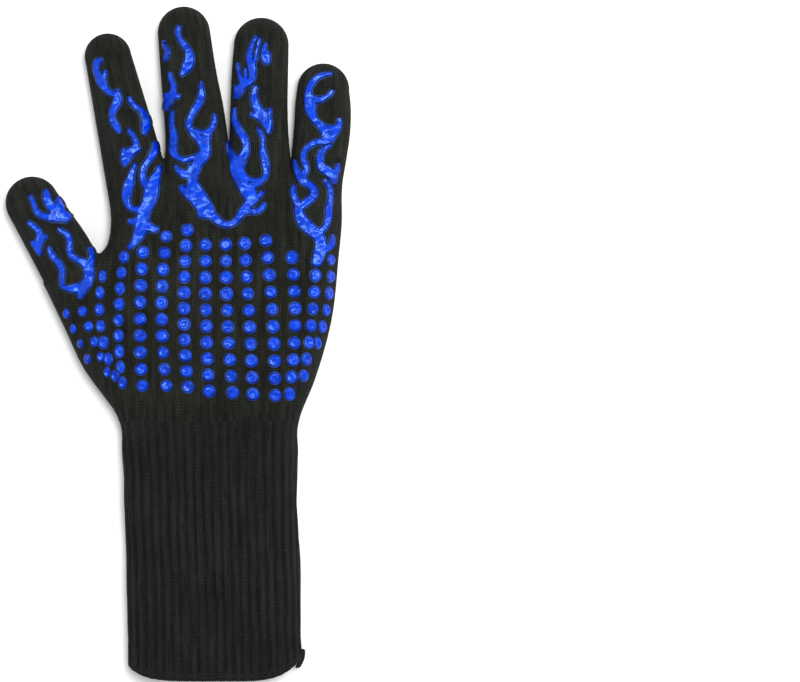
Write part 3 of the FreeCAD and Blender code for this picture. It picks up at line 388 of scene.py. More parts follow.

# %% [markdown]
# ## Which body a patch of cloth belongs to
# The glove bends at the wrist, at the thumb's crease and at the finger joints. A bend in cloth is spread
# over a stretch, so a piece is never cut inside one. Between two joints of a finger the cut is halfway. At
# the wrist, the crease, the roots of the fingers and the thumb's joint it lies just before the bend begins.
# Each piece then crosses one joint only.


# %% Pieces and their joints
ROOT_CUT = 1.6
THUMB_CUT = 18.4
CREASE_START, CREASE_END = -0.5, -7.2
CREASE_CUT = CREASE_START + 0.6
THUMB_SIDE = -28  # the crease ends here, so nothing to the right of it is the thumb's
PIECES = ["cuff", "hand", "thumb_base", "thumb_tip"]
PIECES += [f"{digit}_{part}" for digit in FINGERS for part in ("base", "middle", "tip")]


def piece_at(x, y):
    """The number, in PIECES, of the piece that a point of the hand belongs to."""
    owner = np.full(np.shape(x), PIECES.index("hand"))
    on_thumb_side = (crease_distance(x, y) < CREASE_CUT) & (x < THUMB_SIDE)
    owner[on_thumb_side] = PIECES.index("thumb_base")
    along = to_digit("thumb", x, y)[1]
    owner[on_thumb_side & (along > THUMB_CUT)] = PIECES.index("thumb_tip")
    for digit in FINGERS:
        along = to_digit(digit, x, y)[1]
        first, second, third = DIGITS[digit]["folds"]
        on_finger = (digit_depth(digit, x, y) > -4) & (along > ROOT_CUT)
        for other in FINGERS:
            if other != digit:
                on_finger &= digit_depth(digit, x, y) >= digit_depth(other, x, y)
        starts = (ROOT_CUT, (first + second) / 2, (second + third) / 2)
        for part, start in zip(("base", "middle", "tip"), starts):
            owner[on_finger & (along > start)] = PIECES.index(f"{digit}_{part}")
    return owner


def attach(thing, piece):
    """Attaches a mesh of the hand piece to the hand's body; a mesh of any other piece only has its transform
    baked in.
    """
    if piece == "hand":
        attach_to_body(thing, "hand")
    else:
        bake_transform(thing)


cloth_owner = piece_at(*cloth_points[cloth_quads].mean(1)[:, :2].T)
print({piece: int((cloth_owner == k).sum()) for k, piece in enumerate(PIECES) if k})

# %% [markdown]
# ## Knit coordinates
# Knitted cloth has a direction: columns of stitches, called wales, run up the palm and up each finger. The
# stitch pattern is drawn by the material, and it needs to know, at every point, how many millimetres the
# point is along the wale and across the wales. These two numbers go into a UV layer. Across the rounded
# side of the glove the distance is counted along the cloth, so the wales keep their width there.


# %% Knit coordinates and mesh building
ARC_STEPS = np.linspace(0, 1, 200)
ARC_HEIGHT = (1 - ARC_STEPS ** ROUND_POWER) ** (1 / ROUND_POWER)
WALE_MIDDLE = 20.0  # the wale that the palm's columns are counted from
UNDER_SHIFT = 70.0  # keeps the columns of the side on the table apart from those on top
SIDE_SHARE = 0.8


def arc_extra(toward):
    """How much longer the cloth is than its flat width, over the rounded side, for a side 1 wide and high."""
    length = np.cumsum(np.hypot(np.diff(ARC_STEPS, prepend=0), np.diff(ARC_HEIGHT, prepend=1)))
    return np.interp(np.clip(toward, 0, 1), ARC_STEPS, length - ARC_STEPS)


def knit_coordinates(corners, owner):
    """(across the wales, along them) for the corners of faces, as an array of faces x corners x 2."""
    x, y, z = corners[..., 0], corners[..., 1], corners[..., 2]
    depth, thick, rounding = outline(x, y)
    across = x - WALE_MIDDLE
    along = y.copy()
    for digit in DIGITS:
        names = [k for k, piece in enumerate(PIECES) if piece.startswith(digit)]
        mine = np.isin(owner, names)
        if digit == "thumb":
            mine &= to_digit("thumb", x.mean(1), y.mean(1))[1] > 2
        u, v = to_digit(digit, x[mine], y[mine])
        across[mine], along[mine] = u, v
    extra = arc_extra(1 - depth / rounding) * rounding * SIDE_SHARE
    side = np.where(across.mean(1) < 0, -1.0, 1.0)[:, None]
    top = z.mean(1)[:, None] > (thick * RIM_SHARE).mean(1)[:, None]
    over = across + side * extra
    under = side * UNDER_SHIFT - over
    return np.stack([np.where(top, over, under), along], -1)


def vertex_normals(points, faces):
    """Area-weighted normals of a quad mesh."""
    a = points[faces[:, 2]] - points[faces[:, 0]]
    b = points[faces[:, 3]] - points[faces[:, 1]]
    flat = np.cross(a, b)
    total = np.zeros_like(points)
    for k in range(4):
        np.add.at(total, faces[:, k], flat)
    return total / np.maximum(np.linalg.norm(total, axis=1), 1e-12)[:, None]


def build(name, points, faces, normals, uv, values=None):
    """A smooth mesh object from millimetre points. uv holds one pair per face corner."""
    used, faces = np.unique(faces, return_inverse=True)
    faces = faces.reshape(-1, 4)
    mesh = bpy.data.meshes.new(name)
    mesh.from_pydata((points[used] * MM).tolist(), [], faces.tolist())
    mesh.polygons.foreach_set("use_smooth", np.ones(len(faces), bool))
    layer = mesh.uv_layers.new(name="knit")
    layer.data.foreach_set("uv", uv.astype(np.float32).ravel())
    if values is not None:
        for word, amounts in values.items():
            store = mesh.attributes.new(word, "FLOAT", "POINT")
            store.data.foreach_set("value", amounts[used].astype(np.float32))
    mesh.normals_split_custom_set_from_vertices(normals[used].tolist())
    thing = bpy.data.objects.new(name, mesh)
    bpy.context.scene.collection.objects.link(thing)
    return thing


print("side arc of a finger", round(float(arc_extra(1.0)) * DIGIT_ROUND * SIDE_SHARE + DIGIT_ROUND, 1), "mm")

# %% [markdown]
# ## The outer shell
# On the real glove the hand is one knitted piece. Here the net is handed out to its pieces. All of them
# take their shading normals from the whole net, so the light passes over the cuts without a line.

# %% Outer shell of the hand
shell = {}
cloth_normals = vertex_normals(cloth_points, cloth_quads)
for k, piece in enumerate(PIECES):
    mine = cloth_quads[cloth_owner == k]
    if piece == "cuff":
        continue
    uv = knit_coordinates(cloth_points[mine], cloth_owner[cloth_owner == k])
    shell[piece] = build(f"knit_{piece}", cloth_points, mine, cloth_normals, uv)
    attach(shell[piece], piece)
    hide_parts(f"{piece}_shell")
print(len(shell), "shell pieces")

# %% [markdown]
# ## The cotton lining
# Inside the shell is a second, thinner glove. Only its edge can be seen, in the mouth of the cuff, but the
# glove would not insulate without it. It is the same form set in by the two walls, on a coarser net.

# %% Lining of the hand
LINING_INSET = 2.4
lining_points, lining_quads = hand_net(LINING_INSET, LINING_CELL, 2)
lining_owner = piece_at(*lining_points[lining_quads].mean(1)[:, :2].T)
lining_normals = vertex_normals(lining_points, lining_quads)
lining = {}
for k, piece in enumerate(PIECES):
    if piece == "cuff":
        continue
    mine = lining_quads[lining_owner == k]
    uv = knit_coordinates(lining_points[mine], lining_owner[lining_owner == k])
    lining[piece] = build(f"lining_{piece}", lining_points, mine, lining_normals, uv)
    attach(lining[piece], piece)
    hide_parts(f"{piece}_liner")
print(len(lining), "lining pieces,", len(lining_points), "vertices")

# %% [markdown]
# ## The rib-knit cuff
# A cuff is knitted in ribs, which stand up as soft ridges with narrow valleys between them and let it
# stretch. Ribs are too deep for a bump map: they show in the outline, so they are real geometry. The cuff
# is a sleeve of rings. Every ring follows the section of the glove at its place, with the same number of
# ribs, so the ribs draw together where the cuff is narrow, as they do in yarn.


# %% Rib-knit cuff
RIBS = 44
PER_RIB = 10
RIB_HEIGHT = 1.0
RIB_PITCH = 4.5
CUFF_STEP = 1.5
CUFF_TURN_IN = 9.0
SHELL_WALL = 1.4
MOUTH_MIDDLE, MOUTH_HALF = 20.5, 45.0
MOUTH_CORNERS = 7.0, 11.5  # how far the left and the right corner rise


def section_ring(y, count, inset):
    """Evenly spaced points round the section of the glove at y, with their outward normals."""
    middle = float(palm_left(y) + palm_right(y)) / 2
    reach = 60.0
    line = np.linspace(0, reach, 500)
    left = middle - np.interp(-inset, -outline(middle - line, np.full(500, y))[0], line)
    right = middle + np.interp(-inset, -outline(middle + line, np.full(500, y))[0], line)
    x = (left + right) / 2 - (right - left) / 2 * np.cos(np.linspace(0, math.pi, 300))
    rim, above, below, toward = sides(x, np.full(300, y), inset)
    rise = bulge(toward)
    loop = np.vstack([np.stack([x, rim + above * rise], 1), np.stack([x, rim - below * rise], 1)[::-1][1:]])
    lengths = np.concatenate([[0], np.cumsum(np.linalg.norm(np.diff(loop, axis=0), axis=1))])
    at = np.arange(count) / count * lengths[-1]
    ring = np.stack([np.interp(at, lengths, loop[:, k]) for k in range(2)], 1)
    turn = np.roll(ring, -1, 0) - np.roll(ring, 1, 0)
    normal = np.stack([-turn[:, 1], turn[:, 0]], 1)
    return ring, normal / np.linalg.norm(normal, axis=1)[:, None]


def mouth_edge(x):
    """The line of the cuff's mouth, which is lowest in the middle and rounds up to its corners."""
    share = (x - MOUTH_MIDDLE) / MOUTH_HALF
    corner = np.where(share < 0, *MOUTH_CORNERS)
    return MOUTH_Y + 0.4 + corner * np.abs(share) ** 5


def drop_to_mouth(x, y):
    """Moves the last stretch of a sleeve so that it ends on the mouth's line."""
    near = smooth_step((MOUTH_Y + 30 - y) / 30)
    return y + (mouth_edge(x) - MOUTH_Y) * near


def rib_profile(phase):
    """Height of the ribs, 0 to 1: broad rounded ridges and narrow valleys."""
    return (0.5 + 0.5 * np.cos(phase * 2 * math.pi)) ** 0.55


def sleeve(count, rows, inset_at, rib_at):
    """A tube of rings. inset_at and rib_at give the inset and the rib height of each row."""
    points, uv_rows = [], []
    number = np.arange(count)
    for row, y in enumerate(rows):
        ring, normal = section_ring(max(y, MOUTH_Y), count, inset_at[row])
        sway = 0.10 * np.sin(y / 17.0 + number * 0.013) + 0.06 * np.sin(y / 7.3 + number * 0.05)
        height = rib_profile(number / count * RIBS + sway) * rib_at[row]
        soft = waves(ring[:, 0] * 0.8 + (ring[:, 1] > 9) * 30, np.full(count, y)) * 0.35
        soft = soft * smooth_step((WRIST_Y - y) / 15) * (ring[:, 1] > 4)
        ring = ring + normal * (height + soft)[:, None]
        along = drop_to_mouth(ring[:, 0], np.full(count, float(y)))
        points.append(np.stack([ring[:, 0], along, np.maximum(ring[:, 1], 0.02)], 1))
        uv_rows.append(np.stack([number / count * RIBS * RIB_PITCH, np.full(count, float(y))], 1))
    return np.array(points), np.array(uv_rows)


def sleeve_mesh(name, points, uv_rows, span):
    """Joins the rings. The tube closes on itself, and the last column's UV carries on past the seam."""
    rows, count = points.shape[:2]
    number = np.arange(rows * count).reshape(rows, count)
    after = np.roll(number, -1, 1)
    faces = np.stack([number[:-1], number[1:], after[1:], after[:-1]], -1).reshape(-1, 4)
    uv = uv_rows.reshape(-1, 2)[faces].reshape(rows - 1, count, 4, 2)
    uv[:, -1, 2:, 0] += span
    flat = points.reshape(-1, 3)
    return build(name, flat, faces, vertex_normals(flat, faces), uv.reshape(-1, 2))


outer_rows = np.arange(WRIST_Y + 2.5, MOUTH_Y, -CUFF_STEP)
inner_rows = np.arange(MOUTH_Y, MOUTH_Y + CUFF_TURN_IN, CUFF_STEP)
cuff_rows = np.concatenate([outer_rows, [MOUTH_Y, MOUTH_Y], inner_rows])
tuck = np.where(outer_rows > WRIST_Y - 0.5, 0.35, 0.0)
cuff_inset = np.concatenate([tuck, [0.1, SHELL_WALL / 2], np.full(len(inner_rows), SHELL_WALL)])
rib_growth = smooth_step((WRIST_Y - 1 - outer_rows) / 16) * RIB_HEIGHT
cuff_ribs = np.concatenate([rib_growth, [RIB_HEIGHT * 0.6, 0.0], np.zeros(len(inner_rows))])
cuff_points, cuff_uv = sleeve(RIBS * PER_RIB, cuff_rows, cuff_inset, cuff_ribs)
shell["cuff"] = sleeve_mesh("rib_cuff_sleeve", cuff_points, cuff_uv, RIBS * RIB_PITCH)
attach(shell["cuff"], "cuff")
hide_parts("cuff_shell")

lining_rows = np.arange(WRIST_Y + 2.5, MOUTH_Y + 3.0, -3.0)
lining_inset = np.full(len(lining_rows), LINING_INSET + 0.15)
# at the mouth the edge of the lining is turned in
turned_rows = np.array([MOUTH_Y + 2.2, MOUTH_Y + 2.4, MOUTH_Y + 8])
lining_rows = np.concatenate([lining_rows, turned_rows])
lining_inset = np.concatenate([lining_inset, [LINING_INSET + 0.6, LINING_INSET + 1.3, LINING_INSET + 1.6]])
lining_tube, lining_uv = sleeve(220, lining_rows, lining_inset, np.zeros(len(lining_rows)))
lining["cuff"] = sleeve_mesh("lining_cuff", lining_tube, lining_uv, RIBS * RIB_PITCH)
attach(lining["cuff"], "cuff")
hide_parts("cuff_liner")
print("cuff sleeve:", len(shell["cuff"].data.polygons), "faces")

# %% [markdown]
# ## The flames, stroke by stroke
# The print is thick silicone, squeezed through a stencil and cured on the cloth. A designer draws such
# flames with a brush: every flame is a few curved strokes that swell and taper, and where strokes cross
# they flow together. Each stroke is a list of turns in its digit's own coordinates: across, along and half
# the stroke's width there. The same strokes shape the print in the CAD frame.

# %% Strokes of the flames
FLAMES = {
    "index": (
        ((-4.2, 59.0, 0.6), (-6.6, 58.2, 1.6), (-7.9, 55.0, 1.2), (-7.4, 51.5, 1.6), (-6.4, 48.0, 2.2),
         (-5.4, 44.4, 1.4), (-3.6, 41.6, 1.1), (-0.8, 39.8, 1.2)),
        ((-3.0, 53.6, 0.3), (-4.2, 50.6, 0.9), (-6.2, 48.6, 1.2)),
        ((0.3, 42.8, 0.3), (0.5, 39.6, 1.2), (-0.5, 36.3, 2.0), (-3.0, 33.2, 1.7), (-4.8, 30.2, 1.3),
         (-5.0, 27.0, 1.5), (-4.0, 23.3, 1.5), (-2.9, 19.4, 0.3)),
        ((6.0, 37.8, 0.3), (5.9, 35.0, 0.8), (7.4, 32.0, 0.9), (9.6, 29.4, 1.0), (10.9, 26.4, 1.3),
         (11.0, 22.8, 1.7), (10.2, 19.2, 1.5), (8.8, 16.0, 0.3)),
        ((0.8, 21.6, 0.3), (2.4, 18.8, 0.8), (3.7, 15.4, 0.9), (3.9, 12.2, 1.2), (2.6, 9.6, 1.6)),
        ((5.8, 9.0, 0.3), (3.0, 9.4, 1.4), (0.0, 8.6, 2.2), (-2.6, 6.4, 2.5), (-4.5, 3.0, 0.6)),
        ((-2.5, 11.6, 0.3), (-3.4, 9.0, 1.0), (-2.8, 6.8, 1.4)),
        ((3.4, 3.6, 0.3), (0.8, 1.2, 0.7), (-1.4, -2.2, 1.2), (-3.4, -6.0, 1.9), (-5.6, -10.5, 2.2),
         (-7.0, -14.5, 1.9), (-6.9, -18.0, 1.2), (-4.6, -20.6, 1.1), (-1.6, -22.0, 1.6)),
        ((12.9, 13.0, 0.3), (12.9, 9.6, 0.9), (11.6, 6.2, 1.4), (8.6, 2.8, 1.2), (5.4, -0.4, 1.1),
         (3.9, -4.0, 1.2), (3.8, -8.0, 1.5), (5.2, -11.5, 1.8)),
        ((13.2, -0.4, 0.3), (11.6, -4.4, 1.2), (8.8, -8.6, 2.5), (6.8, -13.0, 3.4), (4.6, -17.8, 3.2),
         (1.6, -22.2, 2.7), (-0.8, -26.8, 3.0), (-2.8, -31.4, 3.1), (-5.6, -35.6, 2.1), (-8.8, -38.4, 1.3),
         (-12.2, -40.6, 0.3)),
        ((6.4, -33.8, 0.3), (3.2, -33.0, 1.6), (0.2, -30.4, 1.8)),
        ((-8.8, -25.8, 0.3), (-6.0, -27.2, 1.4), (-2.8, -26.8, 1.6)),
    ),
    "middle": (
        ((-1.5, 64.4, 0.3), (-3.1, 61.4, 1.2), (-2.7, 57.6, 0.9), (-0.6, 54.0, 1.2), (1.2, 50.4, 1.5),
         (1.4, 46.4, 2.1), (-0.2, 42.4, 2.3), (-3.4, 38.8, 0.8)),
        ((-11.1, 57.8, 0.3), (-10.9, 55.0, 0.6), (-9.6, 52.0, 0.9), (-10.4, 49.0, 1.1), (-11.8, 46.6, 0.3)),
        ((-9.9, 41.4, 0.3), (-9.4, 37.6, 0.9), (-8.5, 33.6, 1.1), (-8.9, 30.0, 1.4), (-11.2, 27.4, 2.3),
         (-12.8, 24.2, 1.9), (-13.6, 20.8, 0.3)),
        ((-5.0, 27.0, 0.3), (-8.0, 28.0, 1.2), (-10.8, 28.2, 1.6)),
        ((-13.9, 30.8, 0.3), (-13.0, 28.4, 0.9), (-11.6, 26.8, 1.4)),
        ((-9.7, 21.4, 0.3), (-11.1, 17.0, 0.9), (-11.4, 12.4, 1.1), (-10.9, 7.6, 1.5), (-11.8, 3.0, 1.9),
         (-11.9, -1.2, 1.6), (-9.8, -4.3, 0.9), (-6.2, -5.6, 1.0), (-2.4, -5.2, 1.0), (0.8, -3.8, 0.9),
         (3.4, -1.8, 0.8)),
        ((5.8, 34.4, 0.3), (5.9, 30.0, 0.9), (5.3, 26.0, 1.5), (3.4, 22.4, 1.5), (0.6, 18.6, 1.3),
         (-1.8, 15.0, 1.3), (-2.6, 11.2, 1.2), (-0.8, 7.8, 1.4), (1.8, 4.6, 1.8), (4.2, 1.0, 2.5),
         (4.4, -2.8, 2.5), (2.0, -6.4, 2.2)),
        ((10.8, 17.0, 0.3), (10.8, 13.2, 0.8), (9.3, 9.8, 0.9), (6.6, 6.4, 1.6), (4.8, 2.0, 2.2)),
        ((0.6, 9.0, 0.6), (3.4, 7.3, 0.8), (6.6, 7.6, 0.9)),
        ((3.6, -4.0, 1.6), (-0.6, -8.6, 2.4), (-3.4, -12.8, 3.1), (-3.8, -17.4, 2.1), (-3.6, -22.0, 3.9),
         (-1.2, -27.2, 4.0), (1.8, -32.0, 3.4), (4.6, -36.4, 1.8), (7.8, -40.0, 1.2), (12.0, -41.8, 1.1)),
        ((-12.2, -7.0, 0.3), (-11.0, -10.0, 0.9), (-8.4, -12.6, 1.6), (-4.6, -13.6, 2.2)),
        ((-10.2, -18.2, 0.3), (-8.8, -21.6, 1.4), (-5.2, -24.8, 2.4)),
        ((3.4, -34.6, 0.6), (1.2, -36.2, 0.8), (-1.2, -34.6, 1.4), (-0.8, -30.6, 1.8)),
    ),
    "ring": (
        ((-0.6, 58.0, 0.3), (-2.8, 55.0, 0.7), (-4.6, 51.2, 0.9), (-5.5, 47.4, 1.2), (-5.3, 43.6, 1.4),
         (-4.1, 40.0, 1.8), (-3.6, 36.4, 1.6), (-4.8, 32.8, 1.3), (-8.0, 30.6, 1.6), (-10.6, 28.0, 2.0),
         (-12.3, 23.2, 0.3)),
        ((0.7, 57.0, 0.3), (-0.9, 52.8, 0.6), (-1.9, 48.2, 0.6), (-2.7, 44.0, 0.8), (-3.8, 40.6, 1.0)),
        ((-11.4, 44.2, 0.3), (-11.5, 40.2, 0.6), (-10.3, 36.0, 0.8), (-8.4, 31.8, 1.1)),
        ((-7.7, 41.2, 0.3), (-7.5, 37.4, 0.7), (-7.2, 34.0, 0.9), (-7.0, 31.0, 1.1)),
        ((-12.6, 31.2, 0.3), (-11.4, 28.8, 1.2), (-9.6, 27.6, 1.3)),
        ((4.4, 53.4, 0.3), (2.3, 51.8, 0.7), (1.8, 49.0, 1.1), (2.9, 46.2, 2.3), (3.4, 43.6, 1.5)),
        ((-0.6, 31.0, 0.3), (-2.3, 28.2, 1.0), (-2.6, 24.6, 1.5), (-1.6, 20.6, 1.8), (0.6, 17.0, 2.3),
         (3.4, 13.6, 2.9), (5.2, 9.8, 1.9), (5.4, 5.4, 0.3)),
        ((5.8, 20.2, 0.3), (5.5, 16.8, 0.9), (4.2, 13.8, 1.8)),
        ((-5.0, 15.4, 0.3), (-2.2, 15.2, 0.9), (1.0, 14.2, 1.6)),
        ((-12.5, 20.2, 0.3), (-12.8, 16.0, 0.9), (-12.0, 11.6, 1.2), (-9.8, 7.4, 1.6), (-7.2, 3.6, 1.6),
         (-5.8, -0.6, 1.5), (-6.4, -4.8, 1.8), (-8.4, -8.6, 2.4), (-9.6, -12.6, 2.8)),
        ((-15.7, 2.4, 0.3), (-15.2, -2.2, 0.8), (-13.0, -6.0, 1.6), (-11.2, -10.2, 2.7), (-10.0, -14.6, 3.1),
         (-7.8, -19.4, 2.7), (-4.8, -23.8, 3.2), (-2.4, -27.6, 3.0), (-3.8, -31.6, 1.9), (-6.8, -34.8, 1.5)),
        ((-0.9, 9.4, 0.3), (1.0, 6.6, 0.7), (2.7, 3.2, 0.8), (2.7, -0.8, 0.8), (3.2, -4.8, 1.4),
         (4.2, -9.2, 1.7), (4.9, -13.2, 1.3), (4.2, -17.0, 1.1), (1.4, -19.8, 1.1), (-2.6, -22.2, 1.8)),
        ((-8.0, -11.5, 0.5), (-6.8, -15.4, 0.9), (-4.2, -18.1, 0.9), (-0.6, -18.9, 0.9), (2.4, -18.6, 0.8)),
        ((4.8, -23.8, 0.3), (2.2, -26.2, 0.9), (-0.2, -28.8, 1.2), (-3.0, -30.6, 1.6)),
        ((4.8, -29.4, 0.3), (4.0, -32.4, 0.9), (1.4, -34.6, 1.1), (-2.4, -34.9, 1.3), (-5.8, -34.8, 1.6),
         (-8.0, -37.6, 1.4), (-10.6, -40.8, 1.2), (-14.2, -42.2, 1.1), (-17.4, -41.4, 1.1),
         (-19.8, -38.4, 1.0)),
    ),
    "little": (
        ((5.0, 45.2, 0.3), (0.8, 44.8, 0.8), (-3.0, 43.0, 1.1), (-5.8, 39.8, 1.3), (-7.3, 36.0, 1.3),
         (-7.2, 32.4, 1.9), (-6.2, 28.6, 2.7), (-5.6, 25.0, 2.1), (-3.6, 21.0, 1.5), (-0.4, 18.0, 1.5),
         (2.4, 14.8, 2.3), (3.8, 11.2, 2.0)),
        ((5.4, 38.0, 0.3), (4.0, 34.9, 0.8), (1.4, 32.6, 0.9), (-2.0, 31.2, 1.4), (-5.4, 31.6, 1.8)),
        ((9.0, 23.6, 0.3), (9.3, 20.0, 0.9), (8.2, 16.6, 1.6), (5.6, 13.8, 2.4), (3.4, 11.4, 1.6)),
        ((-1.0, 18.8, 0.8), (2.6, 17.2, 0.9), (6.0, 17.0, 0.9), (8.6, 18.4, 0.8)),
        ((7.4, 11.2, 0.3), (3.6, 9.9, 1.3), (-0.8, 9.5, 1.2), (-4.8, 7.6, 1.1), (-7.6, 4.4, 1.1),
         (-8.3, 0.6, 1.1), (-7.0, -2.8, 1.2), (-6.4, -5.6, 1.1), (-8.6, -9.2, 1.8)),
        ((-12.9, 0.6, 0.3), (-12.5, -3.0, 0.8), (-10.8, -6.8, 1.2), (-8.8, -10.4, 2.0), (-5.6, -12.8, 1.5),
         (-2.4, -15.2, 1.6), (-1.8, -18.4, 1.7), (-4.0, -21.4, 1.6), (-7.4, -24.4, 1.6)),
        ((-12.0, -13.2, 0.3), (-12.8, -16.8, 0.9), (-11.6, -20.6, 1.1), (-9.6, -24.2, 1.6),
         (-8.8, -28.4, 2.1), (-6.6, -32.8, 2.7), (-2.6, -36.4, 2.7), (1.4, -39.4, 2.5), (3.2, -43.6, 2.5),
         (2.8, -48.5, 2.7), (1.6, -53.0, 2.2)),
        ((6.2, 8.4, 0.3), (3.2, 6.6, 1.0), (0.9, 3.6, 1.4), (0.4, -0.2, 1.5), (1.6, -3.8, 1.8),
         (4.8, -5.8, 2.1), (7.4, -8.0, 2.0), (8.5, -12.4, 0.3)),
        ((9.5, -0.8, 0.3), (9.5, -4.2, 0.9), (7.8, -7.2, 1.8)),
        ((2.0, -9.0, 0.3), (4.6, -11.8, 0.8), (6.4, -15.2, 0.9), (6.8, -20.0, 1.0), (6.3, -25.0, 1.4),
         (6.2, -30.0, 1.3), (5.2, -34.4, 1.1), (2.4, -37.6, 1.4)),
        ((8.6, -38.2, 0.3), (9.0, -41.4, 0.9), (7.9, -44.4, 1.3), (4.8, -46.4, 1.8)),
    ),
    "thumb": (
        ((-0.6, 49.0, 0.3), (-0.7, 44.8, 0.8), (-1.4, 40.6, 0.9), (-1.2, 37.2, 1.2), (0.8, 34.2, 1.3),
         (3.6, 32.0, 1.8), (6.8, 30.6, 2.2)),
        ((7.9, 46.4, 0.3), (6.6, 43.0, 1.5), (6.0, 39.4, 1.6), (6.9, 35.4, 2.2), (7.6, 31.8, 2.8),
         (9.6, 28.8, 2.4)),
        ((10.2, 41.2, 0.3), (10.4, 37.8, 0.9), (9.6, 34.2, 1.5), (8.2, 31.0, 2.2)),
        ((-8.8, 37.0, 0.3), (-7.4, 34.2, 0.8), (-6.0, 31.0, 1.0), (-5.4, 27.8, 1.2), (-6.8, 24.6, 1.8),
         (-9.4, 22.4, 1.7), (-10.3, 19.6, 1.2), (-10.2, 17.0, 0.3)),
        ((-2.6, 24.2, 0.3), (-4.6, 24.6, 1.0), (-7.2, 24.2, 1.6)),
        ((-11.0, 26.6, 0.3), (-10.6, 23.8, 1.2), (-9.0, 22.0, 1.5)),
        ((-4.5, 19.7, 0.3), (-5.3, 16.6, 1.0), (-5.0, 12.6, 1.2), (-4.0, 8.6, 1.3), (-4.6, 4.6, 1.3),
         (-6.8, 1.0, 1.2), (-8.0, -2.0, 1.0), (-6.2, -4.6, 1.1), (-2.6, -6.6, 2.0), (0.6, -7.6, 2.0)),
        ((3.4, 27.0, 0.3), (4.8, 23.6, 0.7), (6.5, 20.0, 1.1), (6.2, 16.4, 1.2), (4.2, 12.8, 1.1),
         (3.6, 9.2, 1.1), (5.6, 5.6, 1.2), (7.8, 1.8, 1.9), (7.6, -2.6, 2.4), (4.8, -6.2, 2.2),
         (0.6, -8.4, 2.4), (-3.8, -12.4, 0.3)),
        ((12.6, 11.2, 0.3), (13.0, 7.6, 0.7), (12.0, 4.2, 1.0), (9.4, 0.6, 1.6)),
    ),
}
print(sum(len(strokes) for strokes in FLAMES.values()), "strokes")

# %% [markdown]
# ## The print as a depth
# As with the cloth, a depth says how far inside the print a point is. Near one stroke it is the stroke's
# half width less the distance to its spine, and where strokes meet, the largest wins, softened a little,
# because wet silicone rounds off every inner corner.


# %% Depth inside the print
def spine(digit, stroke):
    """Close points (x, y, half width) along a stroke, on a smooth line through its turns."""
    fine = np.linspace(0, len(stroke) - 1, (len(stroke) - 1) * 4 + 1)
    lines = [smooth_line([(t, turn[k]) for t, turn in enumerate(stroke)]) for k in range(3)]
    across, along, half = (line(fine) for line in lines)
    x, y = from_digit(digit, across, along)
    return np.stack([x, y, np.maximum(half, 0.12)], 1)


SPINES = [spine(digit, stroke) for digit, strokes in FLAMES.items() for stroke in strokes]
FAR_AWAY = -9.0
STROKE_BLEND = 0.6


def print_depth(x, y):
    """How far inside the flame print a point is, in mm. Outside it is negative."""
    depth = np.full(np.shape(x), FAR_AWAY)
    for line in SPINES:
        low, high = line[:, :2].min(0) - 4, line[:, :2].max(0) + 4
        near = (x > low[0]) & (x < high[0]) & (y > low[1]) & (y < high[1])
        if not near.any():
            continue
        px, py = x[near], y[near]
        best = np.full(px.shape, FAR_AWAY)
        for (ax, ay, ar), (bx, by, br) in zip(line, line[1:]):
            square = max((bx - ax) ** 2 + (by - ay) ** 2, 1e-9)
            t = np.clip(((px - ax) * (bx - ax) + (py - ay) * (by - ay)) / square, 0, 1)
            away = np.hypot(px - ax - t * (bx - ax), py - ay - t * (by - ay))
            best = np.maximum(best, ar + t * (br - ar) - away)
        depth[near] = soft_max(depth[near], best, STROKE_BLEND)
    return depth


def skin(x, y):
    """Points on the palm side of the cloth under or over (x, y), and the cloth's normals there."""
    def height(px, py):
        rim, above, _, toward = sides(px, py, 0.0)
        plain = rim + above * bulge(toward)
        return plain + relief(px, py, plain)
    z = height(x, y)
    reach = 0.3
    slope_x = (height(x + reach, y) - height(x - reach, y)) / (2 * reach)
    slope_y = (height(x, y + reach) - height(x, y - reach)) / (2 * reach)
    normal = np.stack([-slope_x, -slope_y, np.ones_like(z)], -1)
    return np.stack([x, y, z], -1), normal / np.linalg.norm(normal, axis=-1)[..., None]


heart = print_depth(np.array([8.0]), np.array([96.0]))
print("print depth at a flame's heart", round(float(heart[0]), 2))

# %% [markdown]
# ## Casting the flames
# The top of the print is a fine net of quads over the strokes. Its outline is slid exactly onto the
# stencil's edge, and rings of quads then lead down the rounded rim to the cloth and out into a thin skirt,
# where the wet silicone has bled into the yarn. Every vertex remembers how deep inside the print it lies,
# and the material uses that for the dark bleed.

# %% Flame print
PRINT_CELL = 0.46
TOP_LEVEL = 0.12
# depth inside the print and height above the cloth of each ring, from the rim outwards
PRINT_RINGS = ((-0.06, 0.66), (-0.18, 0.42), (-0.26, 0.16), (-0.50, 0.07), (-1.05, 0.02), (-1.55, -0.15))


def to_level(x, y, level, steps):
    """Moves points along the slope of the print's depth towards a level."""
    reach = 0.1
    for _ in range(steps):
        gx = (print_depth(x + reach, y) - print_depth(x - reach, y)) / (2 * reach)
        gy = (print_depth(x, y + reach) - print_depth(x, y - reach)) / (2 * reach)
        size = np.maximum(gx ** 2 + gy ** 2, 0.3)
        miss = np.clip(print_depth(x, y) - level, -0.4, 0.4)
        x, y = x - miss * gx / size, y - miss * gy / size
    return x, y


